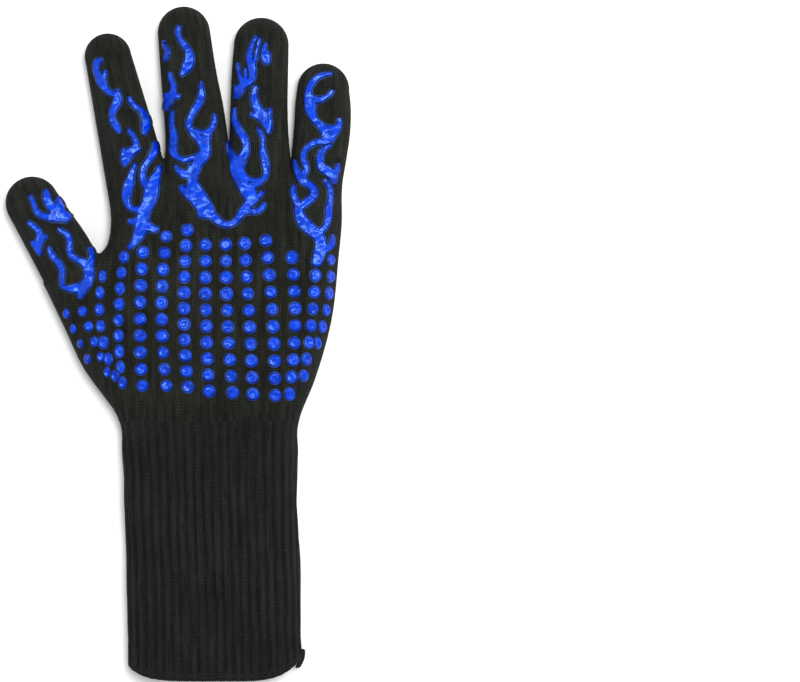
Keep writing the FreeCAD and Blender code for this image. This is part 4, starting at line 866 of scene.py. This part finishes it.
def flame_net():
    """The print's top as a flat net: x, y, quads and the outline edges, directed round the print."""
    lows = np.min([line[:, :2].min(0) for line in SPINES], 0) - 3
    highs = np.max([line[:, :2].max(0) for line in SPINES], 0) + 3
    gx, gy = np.meshgrid(*(np.arange(a, b, PRINT_CELL) for a, b in zip(lows, highs)), indexing="ij")
    kept = print_depth(gx, gy) > TOP_LEVEL - PRINT_CELL * 0.3
    cells = np.argwhere(kept[:-1, :-1] & kept[1:, :-1] & kept[1:, 1:] & kept[:-1, 1:])
    number = np.arange(gx.size).reshape(gx.shape)
    quads = np.stack([number[tuple((cells + step).T)] for step in ((0, 0), (1, 0), (1, 1), (0, 1))], 1)
    used, quads = np.unique(quads, return_inverse=True)
    quads = quads.reshape(-1, 4)
    x, y = gx.ravel()[used], gy.ravel()[used]
    edges = np.vstack([quads[:, (k, (k + 1) % 4)] for k in range(4)])
    _, back, count = np.unique(np.sort(edges, 1), axis=0, return_inverse=True, return_counts=True)
    rim = edges[count[back.ravel()] == 1]
    return x, y, quads, rim


def even_flat(x, y, quads, rim):
    """Slides the outline onto the stencil's edge and spreads the net evenly behind it."""
    edges = np.unique(np.sort(np.vstack([quads[:, (k, (k + 1) % 4)] for k in range(4)]), 1), axis=0)
    border = np.unique(rim)
    rim_pairs = np.sort(rim, 1)
    for _ in range(3):
        x[border], y[border] = to_level(x[border], y[border], TOP_LEVEL, 2)
        for pairs, chosen in ((edges, np.setdiff1d(np.arange(len(x)), border)), (rim_pairs, border)):
            count = np.maximum(np.bincount(pairs.ravel(), minlength=len(x)), 1)
            for line in (x, y):
                total = np.bincount(pairs[:, 0], line[pairs[:, 1]], len(x)) + np.bincount(
                    pairs[:, 1], line[pairs[:, 0]], len(x))
                line[chosen] = line[chosen] * 0.5 + (total / count)[chosen] * 0.5
    x[border], y[border] = to_level(x[border], y[border], TOP_LEVEL, 2)
    return x, y


flame_x, flame_y, flame_quads, flame_rim = flame_net()
flame_x, flame_y = even_flat(flame_x, flame_y, flame_quads, flame_rim)
top_depth = print_depth(flame_x, flame_y)
thin = smooth_step((top_depth - TOP_LEVEL) / 0.7)
top_height = 0.80 + 0.16 * np.exp(-((top_depth - 0.55) / 0.3) ** 2) - 0.06 * thin
top_height += 0.05 * np.sin(flame_x * 0.9 + 2 * np.sin(flame_y * 0.31)) * np.sin(flame_y * 0.7) * thin
layers = [(flame_x, flame_y, top_height, top_depth)]
flame_faces = [flame_quads]
border = np.unique(flame_rim)
place = np.full(len(flame_x), -1)
place[border] = np.arange(len(border))
inner_ids, next_id = border, len(flame_x)
ring_x, ring_y = flame_x[border], flame_y[border]
for level, height in PRINT_RINGS:
    ring_x, ring_y = to_level(ring_x, ring_y, level, 3)
    outer_ids = next_id + np.arange(len(border))
    a, b = place[flame_rim[:, 0]], place[flame_rim[:, 1]]
    flame_faces.append(np.stack([inner_ids[b], inner_ids[a], outer_ids[a], outer_ids[b]], 1))
    layers.append((ring_x, ring_y, np.full(len(border), height), np.full(len(border), level)))
    inner_ids, next_id = outer_ids, next_id + len(border)
flame_x, flame_y, flame_height, flame_depth = (
    np.concatenate([layer[k] for layer in layers]) for k in range(4))
flame_faces = np.vstack(flame_faces)
flame_base, flame_up = skin(flame_x, flame_y)
flame_points = flame_base + flame_up * flame_height[:, None]
flame_normals = vertex_normals(flame_points, flame_faces)
flame_owner = piece_at(flame_x[flame_faces].mean(1), flame_y[flame_faces].mean(1))
flat_uv = np.stack([flame_x, flame_y], 1)[flame_faces]
prints = {}
for k, piece in enumerate(PIECES):
    mine = flame_faces[flame_owner == k]
    if not len(mine):
        continue
    name = "palm_flames" if piece == "hand" else f"{piece}_flames"
    prints[name] = build(f"silicone_{name}", flame_points, mine, flame_normals,
                         flat_uv[flame_owner == k], {"print_edge": flame_depth})
    attach(prints[name], piece)
    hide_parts(name)
print(len(prints), "flame pieces,", len(flame_faces), "quads")

# %% [markdown]
# ## The grip dots
# The dots stand in columns that bow a little, like the stencil when it is laid over a rounded palm. A dot
# of thick silicone sinks in its middle as it cures, so it has a raised ring and a dimple. Each dot is a
# square net bent into a disc, which keeps the quads even right to the centre, where a fan of triangles
# would pinch the highlight.

# %% Grip dots
# of each column: x and y of its first dot, x and y of its last, how far it bows, and its number of dots
PALM_DOTS = (
    (-37.3, 34.3, -30.6, -17.2, -4.2, 7),
    (-26.0, 44.3, -26.8, -20.9, -2.5, 9),
    (-16.0, 46.7, -16.5, -22.4, -1.4, 9),
    (-4.0, 54.9, -4.0, -22.4, -2.4, 10),
    (6.9, 58.2, 7.1, -23.0, -1.8, 11),
    (16.3, 50.5, 18.1, -25.2, -0.6, 10),
    (26.8, 50.7, 30.2, -25.9, -0.8, 10),
    (36.5, 51.2, 40.8, -26.7, 0.3, 10),
    (47.5, 52.8, 52.3, -27.4, 1.1, 10),
    (61.0, 44.1, 59.7, -26.7, 2.2, 9),
    (73.2, 34.7, 67.0, -17.3, 0.8, 7),
    (81.2, 42.8, 74.2, -0.4, 1.8, 6),
)
THUMB_DOTS = (
    (-56.3, 15.0, -45.3, -8.5, 0.0, 4),
    (-47.7, 16.2, -34.8, -15.3, 0.0, 5),
)
DOT_RADIUS, SMALL_DOT_RADIUS = 2.75, 2.2
# of each ring, from the centre: share of the radius, height, and depth inside the print in half millimetres
DOT_PROFILE = ((0, 0.60, 1), (0.18, 0.61, 1), (0.34, 0.67, 1), (0.50, 0.80, 1), (0.64, 0.90, 1),
               (0.77, 0.88, 0.8), (0.87, 0.72, 0.5), (0.95, 0.44, 0.2), (1.0, 0.14, 0), (1.10, 0.06, -0.3),
               (1.26, 0.03, -0.8), (1.30, -0.12, -0.9))
CREASE_CURL, EDGE_CURL = 7.0, 8.0
rng = np.random.default_rng(21)


def dot_centres(columns):
    for top_x, top_y, end_x, end_y, bow, count in columns:
        for share in np.linspace(0, 1, count):
            yield (top_x + (end_x - top_x) * share + bow * 4 * share * (1 - share),
                   top_y + (end_y - top_y) * share)


def disc_net():
    """A square net bent into a disc: unit x, unit y and ring number, and its quads."""
    rings = len(DOT_PROFILE)
    steps = np.arange(-rings + 1, rings)
    i, j = np.meshgrid(steps, steps, indexing="ij")
    ring = np.maximum(np.abs(i), np.abs(j))
    u, v = i / np.maximum(ring, 1), j / np.maximum(ring, 1)
    x, y = u * np.sqrt(1 - v * v / 2), v * np.sqrt(1 - u * u / 2)
    number = np.arange(i.size).reshape(i.shape)
    quads = np.stack([number[:-1, :-1], number[1:, :-1], number[1:, 1:], number[:-1, 1:]], -1).reshape(-1, 4)
    return x.ravel(), y.ravel(), ring.ravel(), quads


disc_x, disc_y, disc_ring, disc_quads = disc_net()
profile = np.array(DOT_PROFILE)
dot_parts = {"palm_dots": [], "thumb_base_dots": []}
for columns, radius in ((PALM_DOTS, DOT_RADIUS), (THUMB_DOTS, SMALL_DOT_RADIUS)):
    for cx, cy in dot_centres(columns):
        wide, tall, deep, skew = rng.normal(0, 1, 4)
        reach = profile[disc_ring, 0] * radius * (1 + 0.03 * wide)
        # beside the crease and the edge the cloth slopes away, and a dot there takes up less of the width
        crease = float(crease_distance(cx, cy)) / CREASE_CURL
        edge = float(outline(np.array([cx]), np.array([cy]))[0][0]) / EDGE_CURL
        seen = (1 - 0.28 * math.exp(-crease * crease)) * (1 - 0.45 * math.exp(-edge * edge))
        x = cx + reach * disc_x * (1 + 0.02 * skew) * seen
        y = cy + reach * disc_y * (1 - 0.02 * skew)
        dimple = np.clip(1 - profile[disc_ring, 0] / 0.6, 0, 1) * 0.10 * deep
        height = profile[disc_ring, 1] * (1 + 0.04 * tall * (disc_ring < 8)) + dimple
        height = height + 0.035 * np.sin(disc_x * 3 * skew + disc_y * 4 * wide) * (disc_ring < 6)
        base, up = skin(x, y)
        owner = PIECES[int(piece_at(np.array([cx]), np.array([cy]))[0])]
        name = "thumb_base_dots" if owner == "thumb_base" else "palm_dots"
        dot_parts[name].append((base + up * height[:, None], profile[disc_ring, 2] * 0.5))
for name, parts in dot_parts.items():
    points = np.vstack([part[0] for part in parts])
    faces = np.vstack([disc_quads + k * len(disc_x) for k in range(len(parts))])
    edge = {"print_edge": np.concatenate([part[1] for part in parts])}
    uv = points[faces][..., :2]
    prints[name] = build(f"silicone_{name}", points, faces, vertex_normals(points, faces), uv, edge)
    attach(prints[name], "hand" if name == "palm_dots" else "thumb_base")
    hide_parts(name)
    print(name, len(parts), "dots")

# %% [markdown]
# ## The sewn hem
# The mouth of the cuff is overlocked: a thread wraps round the raw edge again and again, and two straight
# threads lock the wraps. A tube along a helix shows every wrap in the outline. At the end of the seam the
# machine leaves a chain of thread, which is folded back and sewn in at the corner.

# %% Overlocked hem and its thread end
WRAPS = 176
WRAP_STEPS = 12
THREAD_RADIUS, LOCK_RADIUS, TAIL_RADIUS = 0.46, 0.34, 0.62


def tube(path, radius, around, closed):
    """A round tube of quads along a path of points, in mm."""
    path = np.array(path, float)
    count = len(path)
    if closed:
        tangent = np.roll(path, -1, 0) - np.roll(path, 1, 0)
    else:
        tangent = np.gradient(path, axis=0)
    tangent /= np.linalg.norm(tangent, axis=1)[:, None]
    side = np.cross(tangent, (0.12, 0.95, 0.28))
    side /= np.linalg.norm(side, axis=1)[:, None]
    other = np.cross(tangent, side)
    turn = np.linspace(0, 2 * math.pi, around, endpoint=False)
    rings = (path[:, None] + radius * (np.cos(turn)[None, :, None] * side[:, None]
                                       + np.sin(turn)[None, :, None] * other[:, None]))
    number = np.arange(count * around).reshape(count, around)
    here, ahead = (number, np.roll(number, -1, 0)) if closed else (number[:-1], number[1:])
    faces = np.stack([here, np.roll(here, -1, 1), np.roll(ahead, -1, 1), ahead], -1).reshape(-1, 4)
    lengths = np.concatenate([[0], np.cumsum(np.linalg.norm(np.diff(path, axis=0), axis=1))])
    uv = np.zeros((len(here), around, 4, 2))
    uv[..., 0] = np.arange(around)[:, None] / around + np.array([0, 1, 1, 0]) / around
    uv[..., 1] = lengths[:len(here), None, None] + np.array([0, 0, 1, 1]) * np.median(np.diff(lengths))
    return rings.reshape(-1, 3), faces, uv.reshape(-1, 4, 2)


def joined(name, parts):
    """One mesh of several tubes. Its UV runs round each thread, 0 to 1, and along it in mm."""
    starts = np.cumsum([0] + [len(points) for points, _, _ in parts])
    points = np.vstack([points for points, _, _ in parts])
    faces = np.vstack([faces + start for (_, faces, _), start in zip(parts, starts)])
    uv = np.vstack([uv for _, _, uv in parts])
    return build(name, points, faces, vertex_normals(points, faces), uv)


def hem_path(count, out, up):
    """Points round the mouth, out from the cloth's middle and up from its edge."""
    ring, normal = section_ring(MOUTH_Y, count, 0.7)
    spot = ring + normal * np.asarray(out)[..., None] * np.ones((count, 1))
    y = mouth_edge(ring[:, 0]) + 1.5 + up
    return np.stack([spot[:, 0], y, np.maximum(spot[:, 1], 0.5)], 1)


wraps = np.arange(WRAPS * WRAP_STEPS)
turn = wraps / WRAP_STEPS * 2 * math.pi
wobble = 1 + 0.06 * np.sin(wraps * 0.37) + 0.04 * np.sin(wraps * 0.11)
wrap_path = hem_path(len(wraps), 1.15 * np.cos(turn) * wobble + 0.15, 1.7 * np.sin(turn) * wobble + 0.4)
lock_count = WRAPS * 4
lock_turn = np.arange(lock_count) / 4 * 2 * math.pi
hem_parts = [tube(wrap_path, THREAD_RADIUS, 6, True)]
for side in (1.0, -1.0):
    lock = hem_path(lock_count, 1.15 * side + 0.2 + 0.1 * np.cos(lock_turn), 2.3 + 0.25 * np.sin(lock_turn))
    hem_parts.append(tube(lock, LOCK_RADIUS, 6, True))
hem = joined("overlocked_hem", hem_parts)
attach(hem, "cuff")
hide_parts("hem_overlock")

tail_share = np.linspace(0, 1, 60)
tail_parts = []
for strand in range(3):
    swing = tail_share * 9 * math.pi + strand * 2 * math.pi / 3
    x = 63.6 + 2.6 * tail_share + 0.9 * np.sin(tail_share * math.pi) + 0.75 * np.sin(swing)
    y = -169.5 + 9.0 * tail_share
    z = 9.4 + 0.9 * tail_share + 0.75 * np.sin(2 * swing)
    tail_parts.append(tube(np.stack([x, y, z], 1), TAIL_RADIUS, 8, False))
tail = joined("thread_tail", tail_parts)
attach(tail, "cuff")
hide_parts("hem_tail")
print("hem:", WRAPS, "wraps,", len(hem.data.polygons), "quads")

# %% [markdown]
# ## Shader tools
# Every material below is built from nodes, so that nothing depends on a picture. Two patterns are used by
# more than one material: the loops of a knit, and the uneven tone of dyed yarn. They are node groups.


# %% Shader tools
class Graph:
    """Adds nodes to a tree and wires them."""

    def __init__(self, tree):
        self.tree = tree

    def add(self, kind, inputs=None, **settings):
        node = self.tree.nodes.new(kind)
        for key, value in settings.items():
            setattr(node, key, value)
        for key, value in (inputs or {}).items():
            if isinstance(value, bpy.types.NodeSocket):
                self.tree.links.new(value, node.inputs[key])
            else:
                node.inputs[key].default_value = value
        return node

    def math(self, operation, *values):
        return self.add("ShaderNodeMath", dict(enumerate(values)), operation=operation).outputs[0]

    def spread(self, value, low, high, new_low, new_high):
        """Maps a value from one range to another, smoothly and clamped."""
        inputs = {"Value": value, "From Min": low, "From Max": high, "To Min": new_low, "To Max": new_high}
        return self.add("ShaderNodeMapRange", inputs, interpolation_type="SMOOTHSTEP").outputs[0]

    def mix(self, share, a, b):
        node = self.add("ShaderNodeMix", {0: share}, data_type="RGBA")
        for key, value in ((6, a), (7, b)):
            if isinstance(value, bpy.types.NodeSocket):
                self.tree.links.new(value, node.inputs[key])
            else:
                node.inputs[key].default_value = (*value, 1)
        return node.outputs[2]

    def noise(self, where, scale, detail=2.0, roughness=0.5):
        inputs = {"Vector": where, "Scale": scale, "Detail": detail, "Roughness": roughness}
        return self.add("ShaderNodeTexNoise", inputs).outputs[0]


def new_group(name, inputs, outputs):
    """A shader group with float or vector inputs and float outputs, and its graph."""
    group = bpy.data.node_groups.new(name, "ShaderNodeTree")
    for label, kind in inputs.items():
        group.interface.new_socket(label, in_out="INPUT", socket_type=kind)
    for label in outputs:
        group.interface.new_socket(label, in_out="OUTPUT", socket_type="NodeSocketFloat")
    graph = Graph(group)
    return group, graph, graph.add("NodeGroupInput").outputs, graph.add("NodeGroupOutput").inputs


def new_material(name, colour, **shader_values):
    """A material, its graph and its shader. The plain colour is for solid view."""
    made = bpy.data.materials.new(name)
    made.use_nodes = True
    made.diffuse_color = (*colour, 1)
    shader = made.node_tree.nodes["Principled BSDF"]
    for key, value in shader_values.items():
        shader.inputs[key.replace("_", " ")].default_value = value
    return made, Graph(made.node_tree), shader


print("shader tools ready")

# %% [markdown]
# ## The knit stitch
# Plain knitting seen from its face is columns of small Vs. Each V is two legs of yarn that lean together,
# and each leg swells in its middle and dives under the next. The group turns the knit coordinates into the
# height of the yarn, and wobbles them a little first, because no row of a soft knit is straight. A slow
# noise along each wale gives it a tone of its own, which shows as a faint streak.

# %% Node group of the knit stitch
stitch, g, given, result = new_group(
    "knit stitches",
    {"Place": "NodeSocketVector", "Wale": "NodeSocketFloat", "Course": "NodeSocketFloat",
     "Wobble": "NodeSocketFloat"},
    ("Height", "Gap shade", "Fibre", "Streak"))
parts = g.add("ShaderNodeSeparateXYZ", {0: given["Place"]}).outputs
drift = g.math("MULTIPLY", g.math("SUBTRACT", g.noise(given["Place"], 0.12, 3.0), 0.5), given["Wobble"])
count_x = g.math("ADD", g.math("DIVIDE", parts[0], given["Wale"]), drift)
off_centre = g.math("ABSOLUTE", g.math("SUBTRACT", g.math("FRACT", count_x), 0.5))
lean = g.math("MULTIPLY", off_centre, 1.2)
count_y = g.math("ADD", g.math("DIVIDE", parts[1], given["Course"]), g.math("ADD", lean, drift))
step = g.math("MULTIPLY", g.math("SUBTRACT", g.math("FRACT", count_y), 0.5), 2.0)
column = g.add("ShaderNodeCombineXYZ", {0: g.math("MULTIPLY", g.math("FLOOR", count_x), 3.7),
                                        1: g.math("MULTIPLY", parts[1], 0.035)}).outputs[0]
streak = g.spread(g.noise(column, 1.0, 3.0, 0.6), 0.25, 0.75, 0.0, 1.0)
swell = g.math("MULTIPLY_ADD", g.math("MULTIPLY", step, step), -0.45, 1.0)
leg = g.math("MULTIPLY", g.math("SUBTRACT", off_centre, 0.25), 4.0)
body = g.math("SQRT", g.math("MAXIMUM", g.math("SUBTRACT", 1.0, g.math("MULTIPLY", leg, leg)), 0.0))
stretched = g.add("ShaderNodeMapping", {"Vector": given["Place"], "Scale": (9.0, 2.5, 1.0)}).outputs[0]
fibre = g.noise(stretched, 1.0, 3.0, 0.6)
height = g.math("MULTIPLY", body, swell)
g.tree.links.new(g.math("MULTIPLY_ADD", fibre, 0.16, height), result["Height"])
# the gap output is the space between the yarn legs, which the materials fill with painted shade
g.tree.links.new(g.math("SUBTRACT", 1.0, height), result["Gap shade"])
g.tree.links.new(fibre, result["Fibre"])
g.tree.links.new(streak, result["Streak"])
print("group:", stitch.name)

# %% [markdown]
# ## The tone of dyed yarn
# Yarn takes dye unevenly, and cloth that has been handled is a little dusty in places. One group gives a
# broad, cloudy tone and a fine fleck of loose fibre ends.

# %% Node group of the yarn tone
yarn, g, given, result = new_group(
    "yarn tone", {"Place": "NodeSocketVector", "Size": "NodeSocketFloat"}, ("Cloud", "Fleck"))
cloud = g.noise(given["Place"], given["Size"], 4.0, 0.6)
g.tree.links.new(g.spread(cloud, 0.3, 0.7, 0.0, 1.0), result["Cloud"])
speck = g.noise(given["Place"], 0.85, 3.0, 0.7)
g.tree.links.new(g.spread(speck, 0.56, 0.72, 0.0, 1.0), result["Fleck"])
print("group:", yarn.name)

# %% [markdown]
# ## Knitted cloth
# Three finishes are knitted: the heat resistant shell, an aramid and cotton yarn dyed a very dark olive, the
# rib cuff, whose yarn is a neutral black, and the natural cotton lining. They differ in gauge and colour.
# Sheen on the shader stands for the fuzz of fibre ends that catches the light at the rims.


# %% Materials of the knitted cloth
def knitted(name, deep, lit, wale, course, depth_mm, sheen, cloud_size, rib_span=None):
    """A knitted finish, with painted shade in the gaps between its loops. rib_span is where along the cloth
    ribs grow, from none to full depth, and painted shade darkens the rib valleys there.
    """
    made, g, shader = new_material(name, lit, Roughness=0.86, Specular_IOR_Level=0.10, Sheen_Weight=sheen,
                                   Sheen_Roughness=0.45)
    shader.inputs["Sheen Tint"].default_value = (0.80, 0.82, 0.78, 1)
    place = g.add("ShaderNodeUVMap", uv_map="knit").outputs[0]
    loops = g.add("ShaderNodeGroup", node_tree=stitch)
    tone = g.add("ShaderNodeGroup", node_tree=yarn)
    for node in (loops, tone):
        g.tree.links.new(place, node.inputs["Place"])
    loops.inputs["Wale"].default_value = wale
    loops.inputs["Course"].default_value = course
    loops.inputs["Wobble"].default_value = 0.9
    tone.inputs["Size"].default_value = cloud_size
    streaked = g.mix(loops.outputs["Streak"], tuple(0.45 * c for c in lit), tuple(1.5 * c for c in lit))
    # painted shade: the gaps between the yarn legs take the dark deep colour
    base = g.mix(loops.outputs["Gap shade"], streaked, deep)
    relief_height = loops.outputs["Height"]
    if rib_span:
        spot = g.add("ShaderNodeSeparateXYZ", {0: place}).outputs
        wave = g.math("COSINE", g.math("MULTIPLY", spot[0], 2 * math.pi / RIB_PITCH))
        grown = g.spread(spot[1], *rib_span, 0.0, 1.0)
        # painted shade: the rib valleys are darkened towards the deep colour, and they also dip in the bump
        rib_valley_dip_and_shade = g.math("MULTIPLY", g.spread(wave, -1.0, 0.5, 1.0, 0.0), grown)
        base = g.mix(g.math("MULTIPLY", rib_valley_dip_and_shade, 0.45), base, deep)
        relief_height = g.math("MULTIPLY_ADD", rib_valley_dip_and_shade, -0.8, relief_height)
    clouded = g.mix(g.math("MULTIPLY", tone.outputs["Cloud"], 0.35), base, deep)
    flecked = g.mix(g.math("MULTIPLY", tone.outputs["Fleck"], 0.6), clouded, tuple(1.9 * c for c in lit))
    g.tree.links.new(flecked, shader.inputs["Base Color"])
    g.tree.links.new(g.spread(loops.outputs["Fibre"], 0.3, 0.7, 0.78, 0.94), shader.inputs["Roughness"])
    bump = g.add("ShaderNodeBump", {"Strength": 0.9, "Distance": depth_mm * 0.001,
                                    "Height": relief_height})
    g.tree.links.new(bump.outputs[0], shader.inputs["Normal"])
    return made


# Of each finish, the first colour is the painted shade of its gaps and rib valleys and also the dark end of
# its random tone; the second is its lit yarn colour.
shell_cloth = knitted("olive black knit", (0.0013, 0.0015, 0.0011), (0.0200, 0.0220, 0.0165),
                      2.1, 1.6, 1.0, 0.02, 0.05, (-24.0, WRIST_Y))
cuff_cloth = knitted("black rib knit", (0.0015, 0.0015, 0.0015), (0.0195, 0.0198, 0.0198),
                     1.5, 1.9, 0.9, 0.02, 0.04, (0.0, 1.0 + WRIST_Y))
cotton = knitted("natural cotton", (0.36, 0.33, 0.27), (0.72, 0.68, 0.59), 1.1, 0.9, 0.35, 0.15, 0.08)
for piece, thing in shell.items():
    thing.data.materials.append(cuff_cloth if piece == "cuff" else shell_cloth)
for thing in lining.values():
    thing.data.materials.append(cotton)
print(shell_cloth.name, "|", cuff_cloth.name, "|", cotton.name)

# %% [markdown]
# ## Printed silicone
# The print is soft silicone full of bright blue pigment, so it is even in colour but its surface is not: it
# settles over the loops of the cloth, which show faintly, and it cures with long gentle swells that break up
# the reflections. At the edge the layer is thin, the dark cloth shows through and the pigment has bled into
# the yarn, so the blue turns to navy. Between the loops the navy is darkened further, which is painted shade.

# %% Material of the silicone print
silicone, g, shader = new_material("blue silicone print", (0.0, 0.05, 0.9), Specular_IOR_Level=0.95, IOR=1.43)
shader.inputs["Specular Tint"].default_value = (0.30, 0.58, 1.0, 1)
place = g.add("ShaderNodeUVMap", uv_map="knit").outputs[0]
inside = g.add("ShaderNodeAttribute", attribute_name="print_edge").outputs["Fac"]
loops = g.add("ShaderNodeGroup", {"Place": place, "Wale": 1.45, "Course": 1.15, "Wobble": 0.9},
              node_tree=stitch)
tone = g.add("ShaderNodeGroup", {"Place": place, "Size": 0.16}, node_tree=yarn)
ragged = g.math("MULTIPLY_ADD", g.math("SUBTRACT", g.noise(place, 1.1, 3.0), 0.5), 0.5, inside)
thick = g.spread(ragged, -0.50, 0.45, 0.0, 1.0)
# the navy of the bled pigment is real; it is darker still in the gaps between the loops, which is painted
# shade
navy_bleed_and_gap_shade = g.mix(loops.outputs["Gap shade"], (0.001, 0.005, 0.085), (0.0, 0.001, 0.018))
pigment = g.mix(tone.outputs["Cloud"], (0.0, 0.020, 0.36), (0.0, 0.042, 0.62))
g.tree.links.new(g.mix(thick, navy_bleed_and_gap_shade, pigment), shader.inputs["Base Color"])
satin = g.spread(g.noise(place, 0.35, 3.0), 0.3, 0.7, 0.17, 0.30)
g.tree.links.new(g.math("ADD", satin, g.spread(thick, 0.0, 1.0, 0.4, 0.0)), shader.inputs["Roughness"])
swells = g.noise(place, 0.15, 1.2, 0.4)
bubbles = g.noise(place, 2.4, 1.0)
woven = g.math("MULTIPLY_ADD", loops.outputs["Height"], 0.012, swells)
uneven = g.math("MULTIPLY_ADD", bubbles, 0.012, woven)
bump = g.add("ShaderNodeBump", {"Strength": 0.8, "Distance": 0.0045, "Height": uneven})
g.tree.links.new(bump.outputs[0], shader.inputs["Normal"])
for thing in prints.values():
    thing.data.materials.append(silicone)
print(silicone.name, "on", len(prints), "prints")

# %% [markdown]
# ## Hem thread
# Overlock thread is two plies twisted together. The plies are far too fine to model over two metres of
# thread, so the twist is a bump that runs round and along it, and painted shade darkens the grooves between
# the plies.

# %% Material of the hem thread
thread, g, shader = new_material("black overlock thread", (0.02, 0.02, 0.02), Roughness=0.7,
                                 Specular_IOR_Level=0.15, Sheen_Weight=0.03)
place = g.add("ShaderNodeUVMap", uv_map="knit").outputs[0]
parts = g.add("ShaderNodeSeparateXYZ", {0: place}).outputs
twist = g.math("MULTIPLY_ADD", parts[1], 0.8, g.math("MULTIPLY", parts[0], 2.0))
ply = g.math("ABSOLUTE", g.math("SUBTRACT", g.math("FRACT", twist), 0.5))
tone = g.add("ShaderNodeGroup", {"Place": place, "Size": 0.5}, node_tree=yarn)
# painted shade: the grooves between the plies are darker than the middles of the plies
lit = g.mix(g.spread(ply, 0.0, 0.5, 0.0, 1.0), (0.013, 0.013, 0.013), (0.003, 0.003, 0.003))
g.tree.links.new(g.mix(g.math("MULTIPLY", tone.outputs["Fleck"], 0.3), lit, (0.03, 0.03, 0.03)),
                 shader.inputs["Base Color"])
g.tree.links.new(g.spread(tone.outputs["Cloud"], 0.0, 1.0, 0.62, 0.82), shader.inputs["Roughness"])
bump = g.add("ShaderNodeBump", {"Strength": 0.8, "Distance": 0.0002, "Height": ply}, invert=True)
g.tree.links.new(bump.outputs[0], shader.inputs["Normal"])
for thing in (hem, tail):
    thing.data.materials.append(thread)
print(thread.name)

# %% [markdown]
# ## Table, light and camera
# The glove lies on a plain white table. A large soft light stands to the upper right, so that every dot and
# flame has its highlight on that side. A weaker one stands lower and further out on the same side, and the
# weakest fills from the left. The camera looks straight down.

# %% Table, light and camera
TABLE_SIZE = 4.0
AIM = (0.117, 0.0008, 0.0)
CAMERA_HEIGHT = 1.171

corners = [(x * TABLE_SIZE / 2, y * TABLE_SIZE / 2, 0.0) for x, y in ((-1, -1), (1, -1), (1, 1), (-1, 1))]
table_mesh = bpy.data.meshes.new("table")
table_mesh.from_pydata(corners, [], [(0, 1, 2, 3)])
table = bpy.data.objects.new("table", table_mesh)
bpy.context.scene.collection.objects.link(table)
paper, g, shader = new_material("white table", (0.9, 0.9, 0.9), Roughness=0.7, Specular_IOR_Level=0.2)
where = g.add("ShaderNodeTexCoord").outputs["Object"]
shade = g.spread(g.noise(where, 2.0, 2.0), 0.3, 0.7, 0.0, 1.0)
g.tree.links.new(g.mix(shade, (0.90, 0.90, 0.90), (0.93, 0.93, 0.93)), shader.inputs["Base Color"])
table_mesh.materials.append(paper)

world = bpy.data.worlds.new("studio")
world.use_nodes = True
world.node_tree.nodes["Background"].inputs["Color"].default_value = (0.95, 0.97, 1.0, 1)
world.node_tree.nodes["Background"].inputs["Strength"].default_value = 0.55
bpy.context.scene.world = world


def soft_light(name, spot, size, watts):
    """A square area light that faces the middle of the scene."""
    lamp = bpy.data.lights.new(name, "AREA")
    lamp.size = size
    lamp.energy = watts
    thing = bpy.data.objects.new(name, lamp)
    thing.location = spot
    toward = Vector(AIM) - Vector(spot)
    thing.rotation_euler = toward.to_track_quat("-Z", "Y").to_euler()
    bpy.context.scene.collection.objects.link(thing)


soft_light("key", (0.36, 0.30, 1.45), 0.55, 20)
soft_light("side", (0.95, 0.55, 0.75), 0.5, 6)
soft_light("fill", (-0.9, -0.1, 1.0), 0.8, 2)

lens = bpy.data.cameras.new("camera")
lens.lens = 100
lens.sensor_width = 36
camera = bpy.data.objects.new("camera", lens)
camera.location = (AIM[0], AIM[1], CAMERA_HEIGHT)
camera.rotation_euler = (0, 0, 0)
bpy.context.scene.collection.objects.link(camera)
bpy.context.scene.camera = camera
bpy.context.scene.view_settings.view_transform = "Standard"
print("camera", CAMERA_HEIGHT, "m above the table")
